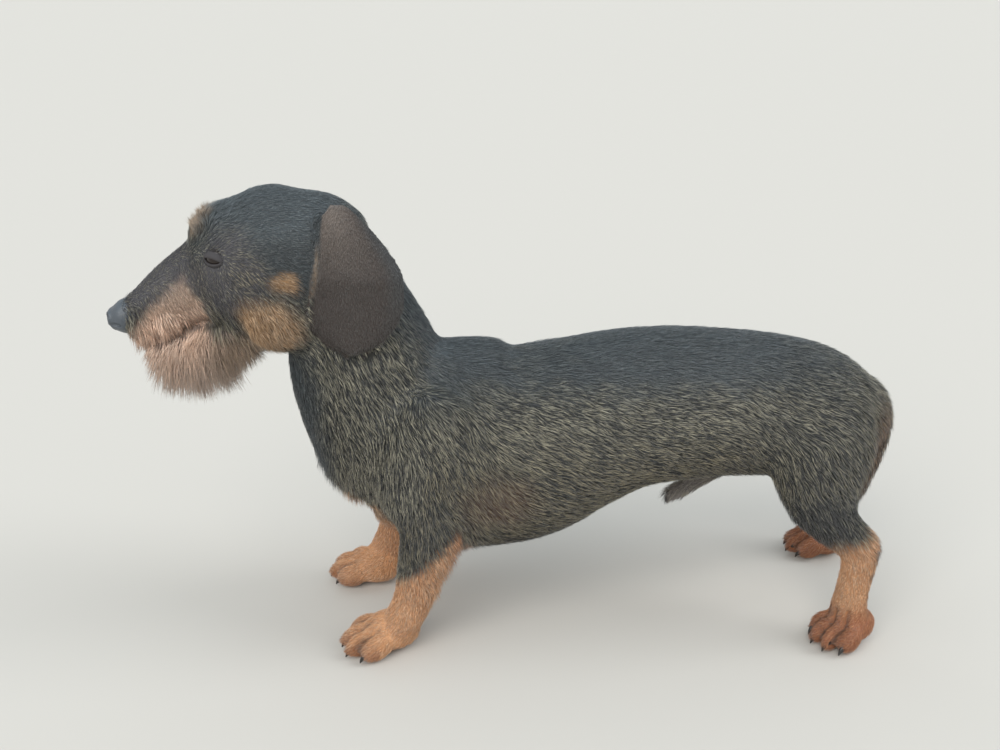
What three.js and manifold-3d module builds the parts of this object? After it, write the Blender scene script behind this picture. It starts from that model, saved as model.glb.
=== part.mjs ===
// A wire-haired dachshund standing square in its short working coat, at life size.
// Millimetres, +Z up. The dog looks along -X, its left side is at -Y, and it stands on z = 0.
import * as THREE from "three";
import { LoftGeometry } from "three/addons/geometries/LoftGeometry.js";
import { mergeVertices } from "three/addons/utils/BufferGeometryUtils.js";
import Module from "manifold-3d";

const wasm = await Module();
wasm.setup();

// Driving dimensions
const WITHERS_X = -15; // the withers, over the shoulder blades
const WITHERS_Z = 234;
const BRISKET_Z = 63; // lowest line of the chest
const CHEST_HALF_WIDTH = 70;
const LOIN_X = 100; // the chest ends and the loin begins
const RUMP_X = 186; // the loin ends and the rump begins
const FORE_STANCE = 57; // from the middle line to each forepaw
const HIND_STANCE = 70;
const EAR_BOTTOM_Z = 239;
const FAR_EAR_SET = [12, 13]; // how far forward and down the right ear is carried
const EAR_THICKNESS = 4.6;
const EYE_RADIUS = 9.6;
const EYE = { x: -200, y: 26.5, z: 305.5 };
const GAP = 0.3; // between touching nodes
const COAT_SEED = 71;

const SIDES = [
  { name: "left", s: -1 },
  { name: "right", s: 1 },
];

// Small tools
const V = (x, y, z) => new THREE.Vector3(x, y, z);
const lerp = THREE.MathUtils.lerp;

function randomFrom(seed) {
  let state = seed;
  return () => {
    state = (state * 1664525 + 1013904223) % 4294967296;
    return state / 4294967296;
  };
}

// A Catmull-Rom value at t through the rows of a table, column by column.
function rowAt(rows, t) {
  const at = Math.min(Math.max(t, 0), 1) * (rows.length - 1);
  const i = Math.min(Math.floor(at), rows.length - 2);
  const f = at - i;
  const row = (k) => rows[Math.min(Math.max(k, 0), rows.length - 1)];
  return rows[0].map((_, c) => {
    const [a, b, d, e] = [row(i - 1)[c], row(i)[c], row(i + 1)[c], row(i + 2)[c]];
    const turn = 2 * a - 5 * b + 4 * d - e + (3 * b - a - 3 * d + e) * f;
    return b + 0.5 * f * (d - a + f * turn);
  });
}

// The frame of a tube at t: its row [x, y, z, half width, up, down], its direction, and the two directions
// of its section. "Across" stays near +Y, and "rise" is square to it and to the tube.
function frameAt(rows, t) {
  const step = 0.004;
  const [a, b] = [rowAt(rows, t - step), rowAt(rows, t + step)];
  const along = V(b[0] - a[0], b[1] - a[1], b[2] - a[2]).normalize();
  const across = V(0, 1, 0).addScaledVector(along, -along.y).normalize();
  const rise = new THREE.Vector3().crossVectors(along, across).normalize();
  return { row: rowAt(rows, t), along, across, rise };
}

// A point of a tube's skin at t, at an angle counted from "across" towards "rise".
function skinPoint({ row, across, rise }, angle, grow, shrink = 1) {
  const [x, y, z, width, up, down] = row;
  const [c, s] = [Math.cos(angle), Math.sin(angle)];
  return V(x, y, z)
    .addScaledVector(across, c * (width * shrink + grow))
    .addScaledVector(rise, s * ((s > 0 ? up : down) * shrink + grow));
}

// A closed tube through a table of rows, with a round end of its own depth at each end.
function tube(rows, { steps = 12, sides = 20, ends = [8, 8], grow = 0, domes = 2 } = {}) {
  const ring = (frame, shrink, push) => {
    const shift = frame.along.clone().multiplyScalar(push);
    const angles = Array.from({ length: sides }, (_, j) => (j / sides) * 2 * Math.PI);
    return angles.map((angle) => skinPoint(frame, angle, grow * shrink, shrink).add(shift));
  };
  const dome = (t, side, depth) =>
    Array.from({ length: domes }, (_, k) => {
      const turn = ((k + 1) / (domes + 0.35)) * (Math.PI / 2);
      return ring(frameAt(rows, t), Math.cos(turn), side * (depth + grow) * Math.sin(turn));
    });
  const body = Array.from({ length: steps + 1 }, (_, i) => ring(frameAt(rows, i / steps), 1, 0));
  const sections = [...dome(0, -1, ends[0]).reverse(), ...body, ...dome(1, 1, ends[1])];
  return solid(new LoftGeometry(sections, { capStart: true, capEnd: true }));
}

function blob(x, y, z, rx, ry, rz, { turn = 0, pitch = 0, grow = 0, fine = 14 } = {}) {
  const g = new THREE.SphereGeometry(1, fine, Math.round(fine * 0.6));
  g.scale(rx + grow, ry + grow, rz + grow).rotateY(pitch).rotateZ(turn).translate(x, y, z);
  return solid(g);
}

function block(x0, x1, y0, y1, z0, z1) {
  const g = new THREE.BoxGeometry(x1 - x0, y1 - y0, z1 - z0);
  return solid(g.translate((x0 + x1) / 2, (y0 + y1) / 2, (z0 + z1) / 2));
}

// A manifold solid from a closed geometry, turned the right way out.
function solid(geometry) {
  const bare = geometry.index ? geometry.toNonIndexed() : geometry;
  const points = new THREE.BufferGeometry().setAttribute("position", bare.getAttribute("position"));
  const merged = mergeVertices(points, 1e-4);
  const vertProperties = merged.attributes.position.array;
  const triVerts = new Uint32Array(merged.index.array);
  const mesh = () => new wasm.Mesh({ numProp: 3, vertProperties, triVerts });
  const made = new wasm.Manifold(mesh());
  if (made.volume() > 0) return made;
  for (let i = 0; i < triVerts.length; i += 3) {
    [triVerts[i + 1], triVerts[i + 2]] = [triVerts[i + 2], triVerts[i + 1]];
  }
  return new wasm.Manifold(mesh());
}

const join = (solids) => solids.reduce((all, one) => all.add(one));

function largest(made) {
  return made.decompose().reduce((a, b) => (a.volume() > b.volume() ? a : b));
}

// Everything on the far side of a plane through (x, z) whose normal lies in the middle plane, at an
// angle from +X towards +Z. A positive clear keeps that far off the plane.
function beyond(x, z, degrees, clear = GAP / 2, yFrom = -400, yTo = 400) {
  const g = new THREE.BoxGeometry(1200, yTo - yFrom, 1200);
  g.translate(600 + clear, (yFrom + yTo) / 2, 0).rotateY(-THREE.MathUtils.degToRad(degrees));
  return solid(g.translate(x, 0, z));
}

// The torso, by stations: x, top, bottom, half width
const TORSO = [
  [-128, 168, 108, 20],
  [-112, 204, 94, 45],
  [-84, 226, 79, 60],
  [-48, 234, 68, 67],
  [WITHERS_X, WITHERS_Z, BRISKET_Z, CHEST_HALF_WIDTH],
  [20, 230, 69, CHEST_HALF_WIDTH + 1],
  [60, 233, 92, CHEST_HALF_WIDTH],
  [LOIN_X, 238, 110, 66],
  [140, 239, 115, 62],
  [178, 236, 118, 62],
  [215, 231, 118, 62],
  [250, 223, 122, 58],
  [280, 208, 132, 49],
  [298, 192, 146, 32],
];
const BELLY_SHARE = 0.46; // how far up the section is widest

const torsoRows = TORSO.map(([x, top, bottom, half]) => {
  const middle = lerp(bottom, top, BELLY_SHARE);
  return [x, 0, middle, half, top - middle, middle - bottom];
});

// The neck runs from behind the skull down into the chest: x, y, z, half width, back, front
const NECK = [
  [-130, 0, 300, 38, 46, 30],
  [-122, 0, 268, 41, 53, 40],
  [-113, 0, 236, 46, 61, 50],
  [-104, 0, 204, 52, 67, 56],
  [-90, 0, 172, 57, 64, 60],
  [-72, 0, 144, 60, 60, 56],
];

// Skull, from the occiput to the stop: x, y, z, half width, down, up
const SKULL = [
  [-108, 0, 299, 36, 34, 38],
  [-126, 0, 299, 45, 52, 50],
  [-148, 0, 294, 48, 60, 61],
  [-174, 0, 290, 46, 54, 61],
  [-198, 0, 289, 38, 46, 53],
  [-214, 0, 287, 28, 36, 44],
];

// Upper muzzle, from the stop to behind the nose: x, y, z, half width, down, up
const MUZZLE = [
  [-206, 0, 287, 27, 24, 35],
  [-224, 0, 279, 23, 24, 30],
  [-242, 0, 270, 20, 24, 25],
  [-258, 0, 261, 18, 22, 20],
  [-271, 0, 254, 15, 17, 17],
];

// Lower jaw, from its angle to the chin
const JAW = [
  [-178, 0, 252, 28, 22, 20],
  [-204, 0, 245, 22, 16, 16],
  [-230, 0, 238, 17, 13, 13],
  [-252, 0, 232, 13, 11, 11],
];

const NOSE = [
  [-268, 0, 260, 12, 13, 12],
  [-277, 0, 257, 13, 14, 11.5],
  [-284, 0, 255.5, 10, 10, 8],
];

// Tail, from the croup down between the hocks
const TAIL = [
  [272, 0, 190, 15, 15, 15],
  [293, 0, 183, 14, 13, 13],
  [306, 0, 160, 12, 11, 11],
  [304, 0, 128, 10, 10, 10],
  [294, 0, 98, 8, 8, 8],
  [281, 0, 70, 5.5, 5.5, 5.5],
  [271, 0, 50, 2.5, 2.5, 2.5],
];

const SHEATH = [
  [190, 0, 122, 9, 6, 6],
  [170, 0, 114, 10, 8, 8],
  [150, 0, 104, 10, 10, 9],
  [135, 0, 97, 8, 8, 8],
];

// A foreleg from the shoulder blade to the wrist. "lead" moves the lower leg forward.
function forelegRows(s, lead) {
  return {
    shoulder: [
      [-42, s * 50, 200, 18, 26, 26],
      [-58, s * 54, 170, 22, 34, 36],
      [-66, s * 56, 140, 22, 30, 32],
      [-58, s * 57, 112, 20, 26, 25],
    ],
    forearm: [
      [-57, s * 59, 112, 19, 27, 24],
      [-60 - lead * 0.4, s * 60, 88, 18, 23, 22],
      [-65 - lead * 0.8, s * 59, 66, 16, 19, 20],
      [-69 - lead, s * FORE_STANCE, 47, 16, 17, 18],
      [-78 - lead, s * FORE_STANCE, 30, 17, 17, 15],
    ],
  };
}

// A hind leg from the hip to the foot. "lag" moves the lower leg back.
function hindlegRows(s, lag) {
  return {
    thigh: [
      [244, s * 40, 194, 20, 34, 34],
      [240, s * 48, 168, 27, 42, 42],
      [238 + lag * 0.2, s * 55, 140, 26, 40, 38],
      [243 + lag * 0.4, s * 60, 114, 21, 28, 30],
    ],
    shank: [
      [240 + lag * 0.4, s * 60, 118, 21, 26, 30],
      [254 + lag * 0.7, s * 64, 99, 17, 20, 22],
      [271 + lag, s * 67, 84, 14, 17, 18],
    ],
    pastern: [
      [274 + lag, s * 67, 86, 14, 16, 16],
      [273 + lag, s * 68, 68, 14, 16, 15],
      [270 + lag, s * 69, 48, 14, 15, 14],
      [268 + lag, s * HIND_STANCE, 28, 15, 15, 15],
    ],
  };
}

// A paw: four arched toes fanned round a pad, set at a heading (0 looks along -X, positive turns outwards)
const TOES = [
  { out: -16, ahead: 12, turn: -13, length: 15 },
  { out: -6, ahead: 20, turn: -4, length: 17 },
  { out: 6, ahead: 20, turn: 4, length: 17 },
  { out: 16, ahead: 12, turn: 13, length: 15 },
];

function pawPlace(paw, ahead, out, z) {
  const a = THREE.MathUtils.degToRad(paw.heading);
  const forward = V(-Math.cos(a), paw.s * Math.sin(a), 0);
  const sideways = V(forward.y, -forward.x, 0).multiplyScalar(-paw.s);
  return V(paw.x, paw.y, z).addScaledVector(forward, ahead).addScaledVector(sideways, -out);
}

function toeYaw(paw, toe) {
  return THREE.MathUtils.degToRad(-paw.s * (paw.heading + toe.turn));
}

function pawSolids(paw, grow) {
  const k = paw.size;
  const palm = pawPlace(paw, -2 * k, 0, 15);
  const yaw = THREE.MathUtils.degToRad(-paw.s * paw.heading);
  const list = [blob(palm.x, palm.y, palm.z, 23 * k, 19 * k, 16, { turn: yaw, grow, fine: 11 })];
  for (const toe of TOES) {
    const middle = pawPlace(paw, toe.ahead * k, toe.out * k, 11.5);
    const set = { turn: toeYaw(paw, toe), pitch: -0.3, grow, fine: 7 };
    list.push(blob(middle.x, middle.y, middle.z, toe.length * k, 7.8 * k, 11, set));
  }
  return list;
}

// A claw: a short curved horn from the top of the toe's end down towards the floor
function clawRows(paw, toe) {
  const at = (ahead, z) => pawPlace(paw, (toe.ahead + ahead) * paw.size, toe.out * paw.size * 1.12, z);
  const row = (p, r) => [p.x, p.y, p.z, r * 0.8, r, r];
  return [row(at(6, 9.5), 2.8), row(at(11, 8.8), 2.6), row(at(14.2, 6.2), 1.9), row(at(15.8, 3.4), 0.8)];
}

const PAWS = {
  foreleft: { x: -90, y: -FORE_STANCE + 3, s: -1, heading: 16, size: 1.04, cut: 33 },
  foreright: { x: -106, y: FORE_STANCE - 8, s: 1, heading: 14, size: 1.04, cut: 33 },
  hindleft: { x: 269, y: -HIND_STANCE, s: -1, heading: 24, size: 0.92, cut: 30 },
  hindright: { x: 296, y: HIND_STANCE - 2, s: 1, heading: 10, size: 0.92, cut: 30 },
};

const LEGS = {
  left: { s: -1, fore: forelegRows(-1, 0), hind: hindlegRows(-1, -1) },
  right: { s: 1, fore: forelegRows(1, 15), hind: hindlegRows(1, 24) },
};

// Flesh of each region, grown by a little where a neighbour is to be kept clear of it
function torsoFlesh(grow) {
  const list = [tube(torsoRows, { steps: 17, sides: 22, ends: [9, 12], grow })];
  for (const { name, s } of SIDES) {
    list.push(tube(LEGS[name].fore.shoulder, { steps: 5, sides: 12, ends: [16, 12], grow }));
    list.push(tube(LEGS[name].hind.thigh, { steps: 5, sides: 14, ends: [16, 12], grow }));
  }
  return join(list);
}

const neckFlesh = (grow) => tube(NECK, { steps: 6, sides: 18, ends: [6, 14], grow });

function skullFlesh(grow) {
  const list = [tube(SKULL, { steps: 8, sides: 18, ends: [16, 12], grow })];
  for (const { s } of SIDES) {
    list.push(blob(-158, s * 30, 262, 30, 20, 28, { grow, pitch: 0.3, fine: 9 }));
    list.push(blob(-202, s * 17, 323, 12, 12, 13, { grow, fine: 9 }));
    list.push(lidRing(s, grow));
  }
  return join(list);
}

// The lids: a soft ring round each eye that looks out and a little forward
function lidRing(s, grow) {
  const g = new THREE.TorusGeometry(EYE_RADIUS * 0.86, 2.6 + grow, 5, 12);
  g.scale(1, 0.72, 1).rotateX(Math.PI / 2).rotateZ(s * 0.5);
  const out = V(-Math.sin(0.5), s * Math.cos(0.5), 0).multiplyScalar(EYE_RADIUS * 0.62);
  return solid(g.translate(EYE.x + out.x, s * EYE.y + out.y, EYE.z));
}

function eyeball(s, grow) {
  return blob(EYE.x, s * EYE.y, EYE.z, EYE_RADIUS, EYE_RADIUS, EYE_RADIUS, { grow, fine: 11 });
}

// Locks: flat tapered blades that leave the skin, bend towards the lie of the coat and end in a point
function lock({ root, out, lie, length, width, thick }, grow) {
  const flat = new THREE.Vector3().crossVectors(out, lie).normalize();
  const face = new THREE.Vector3().crossVectors(lie, flat).normalize();
  const sections = [-0.3, 0.15, 0.6, 1].map((t, i) => {
    const bend = Math.max(t, 0);
    const p = root.clone().addScaledVector(out, length * (t < 0 ? 0.7 * t : 0.3 * t * (1 - 0.55 * t)));
    p.addScaledVector(lie, length * bend * (0.62 + 0.38 * bend));
    const w = width * [0.8, 1, 0.85, 0.3][i] * 0.5 + grow;
    const h = thick * [0.6, 0.7, 0.55, 0.25][i] + grow;
    const corners = [V(w, -h * 0.3, 0), V(0, h * 0.7, 0), V(-w, -h * 0.3, 0)];
    return corners.map(({ x, y }) => p.clone().addScaledVector(flat, x).addScaledVector(face, y));
  });
  return solid(new LoftGeometry(sections, { capStart: true, capEnd: true }));
}

// Locks in rows on a tube's skin: t along it, angle round it, and a lie given for each root
function locksOn(rows, spec, grow) {
  const random = randomFrom(COAT_SEED + spec.seed);
  const list = [];
  for (let i = 0; i < spec.along; i++) {
    for (let j = 0; j < spec.round; j++) {
      const t = lerp(spec.t[0], spec.t[1], (i + 0.3 + 0.4 * random()) / spec.along);
      const share = (j + (i % 2 ? 0.25 : 0.5) + 0.25 * random()) / spec.round;
      const angle = lerp(spec.angle[0], spec.angle[1], share);
      const frame = frameAt(rows, t);
      const root = skinPoint(frame, angle, 0);
      const [x, y, z] = frame.row;
      const out = root.clone().sub(V(x, y, z)).normalize();
      const lie = spec.lie(root, out, random).normalize();
      const length = spec.length(root, t) * lerp(0.9, 1.06, random());
      list.push(lock({ root, out, lie, length, width: spec.width, thick: spec.thick }, grow));
    }
  }
  return list;
}

// The lower line of the beard and of the moustache over it: x, z
const BEARD_LINE = [
  [-262, 217],
  [-246, 203],
  [-228, 196],
  [-210, 198],
  [-196, 214],
  [-184, 227],
];
const MOUSTACHE_RISE = 24;

// The lie of both: down and a little back, spreading to the sides
const beardLie = (root, out, random) =>
  V(0.22 + 0.16 * (random() - 0.5), out.y * 0.25 + 0.1 * (random() - 0.5), -0.95);

// How far it is from a root down to the beard's lower line
function toBeardLine(root, rise = 0) {
  const [x0, x1] = [BEARD_LINE[0][0], BEARD_LINE[BEARD_LINE.length - 1][0]];
  const [, z] = rowAt(BEARD_LINE, (root.x + 8 - x0) / (x1 - x0));
  return Math.max(12, root.z - z - rise);
}

function moustache(grow) {
  const shape = { along: 7, round: 2, width: 16, thick: 4.2, t: [0.2, 1.0], lie: beardLie };
  const length = (root) => toBeardLine(root, MOUSTACHE_RISE);
  return [
    ...locksOn(MUZZLE, { ...shape, seed: 1, angle: [0.7, -0.5], length }, grow),
    ...locksOn(MUZZLE, { ...shape, seed: 2, angle: [Math.PI - 0.7, Math.PI + 0.5], length }, grow),
  ];
}

function muzzleFlesh(grow) {
  return join([tube(MUZZLE, { steps: 5, sides: 14, ends: [6, 8], grow }), ...moustache(grow)]);
}

// The beard: locks all round the chin over a short dense core
function beard(grow) {
  const length = (root) => toBeardLine(root);
  const shape = { along: 6, round: 5, width: 17, thick: 4.6, seed: 3, t: [0.1, 0.98] };
  const core = blob(-229, 0, 224, 25, 13, 15, { grow, fine: 9 });
  return [core, ...locksOn(JAW, { ...shape, angle: [0.3, Math.PI - 0.3], length, lie: beardLie }, grow)];
}

function jawFlesh(grow) {
  return join([tube(JAW, { steps: 4, sides: 12, ends: [6, 7], grow }), ...beard(grow)]);
}

// The brows: short locks that jut over the inner corner of each eye
function brows(grow) {
  return SIDES.flatMap(({ s }) =>
    [0, 1, 2, 3].map((i) => {
      const root = V(-204 + i * 3, s * (7 + i * 5.5), 333 - i * 2.5);
      const lie = V(-0.9, s * 0.12, 0.22).normalize();
      const out = V(-0.1, s * 0.1, 0.98).normalize();
      return lock({ root, out, lie, length: 13 - i, width: 10, thick: 4 }, grow);
    }),
  );
}

// The tuft at the point of the breast
function chestTuft(grow) {
  const random = randomFrom(COAT_SEED + 9);
  return Array.from({ length: 9 }, (_, i) => {
    const side = (i % 3) - 1;
    const root = V(-127 + 1.6 * i, side * 12, 122 - 2.4 * i);
    const lie = V(0.05 + 0.1 * random(), side * 0.2, -0.97).normalize();
    const out = V(-0.9, side * 0.2, -0.3).normalize();
    return lock({ root, out, lie, length: 16 + 4 * random(), width: 14, thick: 4.4 }, grow);
  });
}

// The outline of an ear as it hangs: z, front x, rear x
const EAR = [
  [347, -120, -109],
  [338, -127, -99],
  [322, -130, -86],
  [300, -131, -71],
  [282, -133, -69],
  [266, -136, -72],
  [254, -133, -79],
  [245, -125, -88],
  [EAR_BOTTOM_Z, -114, -100],
];

// An ear: a long rounded leaf hung from the back of the skull, its front edge turned in to make the cup
function earLeaf(s, grow) {
  const columns = 7;
  const rows = 9;
  const [forward, lower] = s > 0 ? FAR_EAR_SET : [0, 0];
  const point = (u, v, face) => {
    const [z, front, rear] = rowAt(EAR, v);
    const x = lerp(front, rear, (u + 1) / 2) + u * grow - forward;
    const curl = 5 * Math.max(0, -u) ** 2;
    const hang = lerp(33, 56, Math.min(1, v * 2.4)) - 6 * v;
    const y = s * (hang - curl - 3 * u * u) + s * face * (EAR_THICKNESS / 2 + grow);
    return V(x, y, z - lower + grow * (1 - 2 * v));
  };
  const sections = Array.from({ length: rows + 1 }, (_, i) => {
    const v = i / rows;
    const across = Array.from({ length: columns }, (_, j) => (j / (columns - 1)) * 2 - 1);
    const outer = across.map((u) => point(u, v, 1 - 0.75 * u ** 6));
    const inner = across.map((u) => point(u, v, -(1 - 0.75 * u ** 6))).reverse();
    return s < 0 ? [...outer, ...inner].reverse() : [...outer, ...inner];
  });
  return solid(new LoftGeometry(sections, { capStart: true, capEnd: true }));
}

// Nostrils: a comma-shaped hollow on each side of the nose
function nostrils() {
  return join(
    SIDES.map(({ s }) => {
      const hole = blob(-288, s * 6.2, 257, 7, 3.1, 3.6, { turn: s * 0.35, fine: 7 });
      return hole.add(blob(-283, s * 11.5, 253.5, 6, 3.4, 1.7, { turn: s * 0.9, fine: 7 }));
    }),
  );
}

// Building and parting
const torso = torsoFlesh(0);
const torsoGrown = torsoFlesh(GAP);
const neck = neckFlesh(0);
const skull = skullFlesh(0);
const skullGrown = skullFlesh(GAP);
const muzzle = muzzleFlesh(0);
const muzzleGrown = muzzleFlesh(GAP);
const eyes = SIDES.map(({ s }) => eyeball(s, 0));
const eyesGrown = join(SIDES.map(({ s }) => eyeball(s, GAP)));
const nose = tube(NOSE, { steps: 3, sides: 12, ends: [4, 5] }).subtract(nostrils());
const noseGrown = tube(NOSE, { steps: 3, sides: 12, ends: [4, 5], grow: GAP });

const nodes = [];
const node = (name, made, slot) => nodes.push({ name, made: largest(made), slot });

// Head
node("skull", join([skull, ...brows(0)]).subtract(eyesGrown), "dark_coat");
const skullAll = join([skullGrown, ...brows(GAP)]);
node("muzzle", muzzle.subtract(skullAll).subtract(noseGrown).subtract(eyesGrown), "tan_coat");
const jaw = jawFlesh(0).subtract(skullGrown).subtract(muzzleGrown).subtract(noseGrown);
node("lower_jaw", jaw, "tan_coat");
node("nose", nose, "nose_leather");
SIDES.forEach(({ name }, i) => node(`eye_${name}`, eyes[i], "eye"));

// Neck and torso
const headGrown = join([skullGrown, jawFlesh(GAP)]);
const trunkGrown = join([torso, torsoGrown, ...chestTuft(GAP)]);
node("neck", neck.subtract(trunkGrown).subtract(headGrown), "dark_coat");
const fleshGrown = join([skullGrown, neckFlesh(GAP), torsoGrown]);
for (const { name, s } of SIDES) {
  node(`ear_${name}`, earLeaf(s, 0).subtract(fleshGrown), "ear_coat");
}

// Each limb is lifted out of the torso by the region that holds it
function limbRegion(x, z, rx, rz, s, inner, grow) {
  const shape = new THREE.Shape().absellipse(0, 0, rx + grow, rz + grow, 0, 2 * Math.PI);
  const g = new THREE.ExtrudeGeometry(shape, { depth: 200, bevelEnabled: false, curveSegments: 28 });
  g.rotateX(Math.PI / 2);
  g.translate(x, s < 0 ? -inner + grow : 200 + inner - grow, z);
  return solid(g);
}
const REGIONS = SIDES.flatMap(({ name, s }) => [
  { name: `upper_arm_${name}`, args: [-56, 128, 46, 66, s, 44] },
  { name: `thigh_${name}`, args: [240, 148, 54, 62, s, 36] },
]);
let trunk = join([torso, ...chestTuft(0)]);
const limbs = {};
for (const { name, args } of REGIONS) {
  limbs[name] = trunk.intersect(limbRegion(...args, -GAP / 2));
  trunk = trunk.subtract(limbRegion(...args, GAP / 2));
}
node("chest", trunk.subtract(beyond(LOIN_X, 0, 0, -GAP / 2)), "dark_coat");
const hindTrunk = trunk.intersect(beyond(LOIN_X, 0, 0));
const sheathSolid = tube(SHEATH, { steps: 7, sides: 14, ends: [4, 6] });
node("loin", hindTrunk.subtract(beyond(RUMP_X, 0, 0, -GAP / 2)), "dark_coat");
node("rump", hindTrunk.intersect(beyond(RUMP_X, 0, 0)), "dark_coat");
node("sheath", sheathSolid.subtract(torsoGrown), "dark_coat");
node("tail", tube(TAIL, { steps: 12, sides: 12, ends: [6, 4] }).subtract(torsoGrown), "dark_coat");

// Legs, from the body down
function legNodes({ name }) {
  const leg = LEGS[name];
  const fore = (grow) => tube(leg.fore.forearm, { steps: 5, sides: 12, ends: [10, 6], grow });
  const shank = (grow) => tube(leg.hind.shank, { steps: 4, sides: 12, ends: [8, 10], grow });
  const pastern = (grow) => tube(leg.hind.pastern, { steps: 5, sides: 12, ends: [10, 6], grow });
  const forePaw = PAWS[`fore${name}`];
  const hindPaw = PAWS[`hind${name}`];
  node(`upper_arm_${name}`, limbs[`upper_arm_${name}`], "dark_coat");
  node(`thigh_${name}`, limbs[`thigh_${name}`], "dark_coat");
  node(`forearm_${name}`, fore(0).subtract(torsoGrown).subtract(pawBlock(forePaw, GAP)), "tan_coat");
  node(`shank_${name}`, shank(0).subtract(torsoGrown).subtract(pastern(GAP)), "dark_coat");
  node(`pastern_${name}`, pastern(0).subtract(torsoGrown).subtract(pawBlock(hindPaw, GAP)), "tan_coat");
  pawNodes(`forepaw_${name}`, forePaw, fore(0));
  pawNodes(`hindpaw_${name}`, hindPaw, pastern(0));
}

// Where a paw ends below its leg
const pawBlock = (paw, clear) => block(paw.x - 60, paw.x + 60, paw.y - 60, paw.y + 60, -5, paw.cut + clear);

function pawNodes(name, paw, leg) {
  const claws = TOES.map((toe) => clawRows(paw, toe));
  const clawTube = (rows, grow) => tube(rows, { steps: 3, sides: 6, ends: [2, 0.8], grow, domes: 1 });
  const flesh = join([...pawSolids(paw, 0), leg]).intersect(pawBlock(paw, 0));
  const floor = block(paw.x - 60, paw.x + 60, paw.y - 60, paw.y + 60, -30, 0);
  const horn = join(claws.map((rows) => clawTube(rows, GAP)));
  node(name, flesh.subtract(floor).subtract(horn), "tan_coat");
  claws.forEach((rows, i) => node(`claw_${name}_${i + 1}`, clawTube(rows, 0), "claw"));
}
SIDES.forEach(legNodes);

// Materials and the exported group
const FINISH = {
  dark_coat: { color: 0x34343a, roughness: 0.85 },
  tan_coat: { color: 0xa8744a, roughness: 0.85 },
  ear_coat: { color: 0x453d36, roughness: 0.7 },
  nose_leather: { color: 0x24272b, roughness: 0.45 },
  eye: { color: 0x23150d, roughness: 0.08 },
  claw: { color: 0x2a2624, roughness: 0.4 },
};

function meshOf({ name, made, slot }) {
  const { numProp, vertProperties, triVerts } = made.getMesh();
  const geometry = new THREE.BufferGeometry();
  geometry.setAttribute("position", new THREE.BufferAttribute(new Float32Array(vertProperties), numProp));
  geometry.setIndex(new THREE.BufferAttribute(new Uint32Array(triVerts), 1));
  geometry.computeVertexNormals();
  const mesh = new THREE.Mesh(geometry, new THREE.MeshStandardMaterial({ ...FINISH[slot], metalness: 0 }));
  mesh.name = name;
  return mesh;
}

const dachshund = new THREE.Group();
dachshund.add(...nodes.map(meshOf));

// The origin is the middle of the box round the dog, at the floor
const box = new THREE.Box3().setFromObject(dachshund);
const centre = box.getCenter(V(0, 0, 0));
for (const mesh of dachshund.children) mesh.geometry.translate(-centre.x, -centre.y, -box.min.z);

export default dachshund;
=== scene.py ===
import math

import bpy
import numpy as np
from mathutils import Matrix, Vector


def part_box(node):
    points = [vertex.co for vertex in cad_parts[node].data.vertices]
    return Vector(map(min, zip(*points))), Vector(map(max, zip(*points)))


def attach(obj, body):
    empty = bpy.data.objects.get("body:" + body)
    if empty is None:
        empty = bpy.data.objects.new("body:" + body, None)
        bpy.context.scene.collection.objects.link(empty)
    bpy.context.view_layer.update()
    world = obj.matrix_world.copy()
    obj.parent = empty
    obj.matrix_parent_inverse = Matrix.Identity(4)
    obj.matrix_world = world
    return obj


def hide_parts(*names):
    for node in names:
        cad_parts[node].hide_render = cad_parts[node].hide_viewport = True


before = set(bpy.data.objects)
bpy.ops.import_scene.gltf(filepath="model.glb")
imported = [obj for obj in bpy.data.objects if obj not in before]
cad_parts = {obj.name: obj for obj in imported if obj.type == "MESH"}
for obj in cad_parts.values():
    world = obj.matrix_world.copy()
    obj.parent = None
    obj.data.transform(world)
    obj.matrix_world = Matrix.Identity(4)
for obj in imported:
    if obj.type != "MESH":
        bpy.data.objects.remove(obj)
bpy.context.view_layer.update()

MM = 0.001
SIDES = (("left", -1), ("right", 1))

# The body, in the same sizes as the solids. A row of a form is its place (x, y, z), its half width,
# and how far it reaches above and below that place
WITHERS_Z = 234
CHEST_HALF_WIDTH = 70
BELLY_SHARE = 0.46
FORE_STANCE = 57
HIND_STANCE = 70
EYE_RADIUS = 9.6
EYE = np.array([-200.0, 26.5, 305.5])  # the right one; y is turned for the left
EAR_THICKNESS = 4.6
FAR_EAR_SET = (12, 13)  # how far the right ear stands forward, and how far it hangs lower
LEAD = {-1: 0, 1: 15}  # how far forward the lower foreleg of each side stands
LAG = {-1: -1, 1: 24}  # how far back the lower hind leg of each side stands

TORSO = [  # x, top, bottom, half width
    [-128, 168, 108, 20],
    [-112, 204, 94, 45],
    [-84, 226, 79, 60],
    [-48, 234, 68, 67],
    [-15, WITHERS_Z, 63, CHEST_HALF_WIDTH],
    [20, 230, 69, CHEST_HALF_WIDTH + 1],
    [60, 233, 92, CHEST_HALF_WIDTH],
    [100, 238, 110, 66],
    [140, 239, 115, 62],
    [178, 236, 118, 62],
    [215, 231, 118, 62],
    [250, 223, 122, 58],
    [280, 208, 132, 49],
    [298, 192, 146, 32],
]
NECK = [
    [-130, 0, 300, 38, 46, 30],
    [-122, 0, 268, 41, 53, 40],
    [-113, 0, 236, 46, 61, 50],
    [-104, 0, 204, 52, 67, 56],
    [-90, 0, 172, 57, 64, 60],
    [-72, 0, 144, 60, 60, 56],
]
SKULL = [
    [-108, 0, 299, 36, 34, 38],
    [-126, 0, 299, 45, 52, 50],
    [-148, 0, 294, 48, 60, 61],
    [-174, 0, 290, 46, 54, 61],
    [-198, 0, 289, 38, 46, 53],
    [-214, 0, 287, 28, 36, 44],
]
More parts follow.
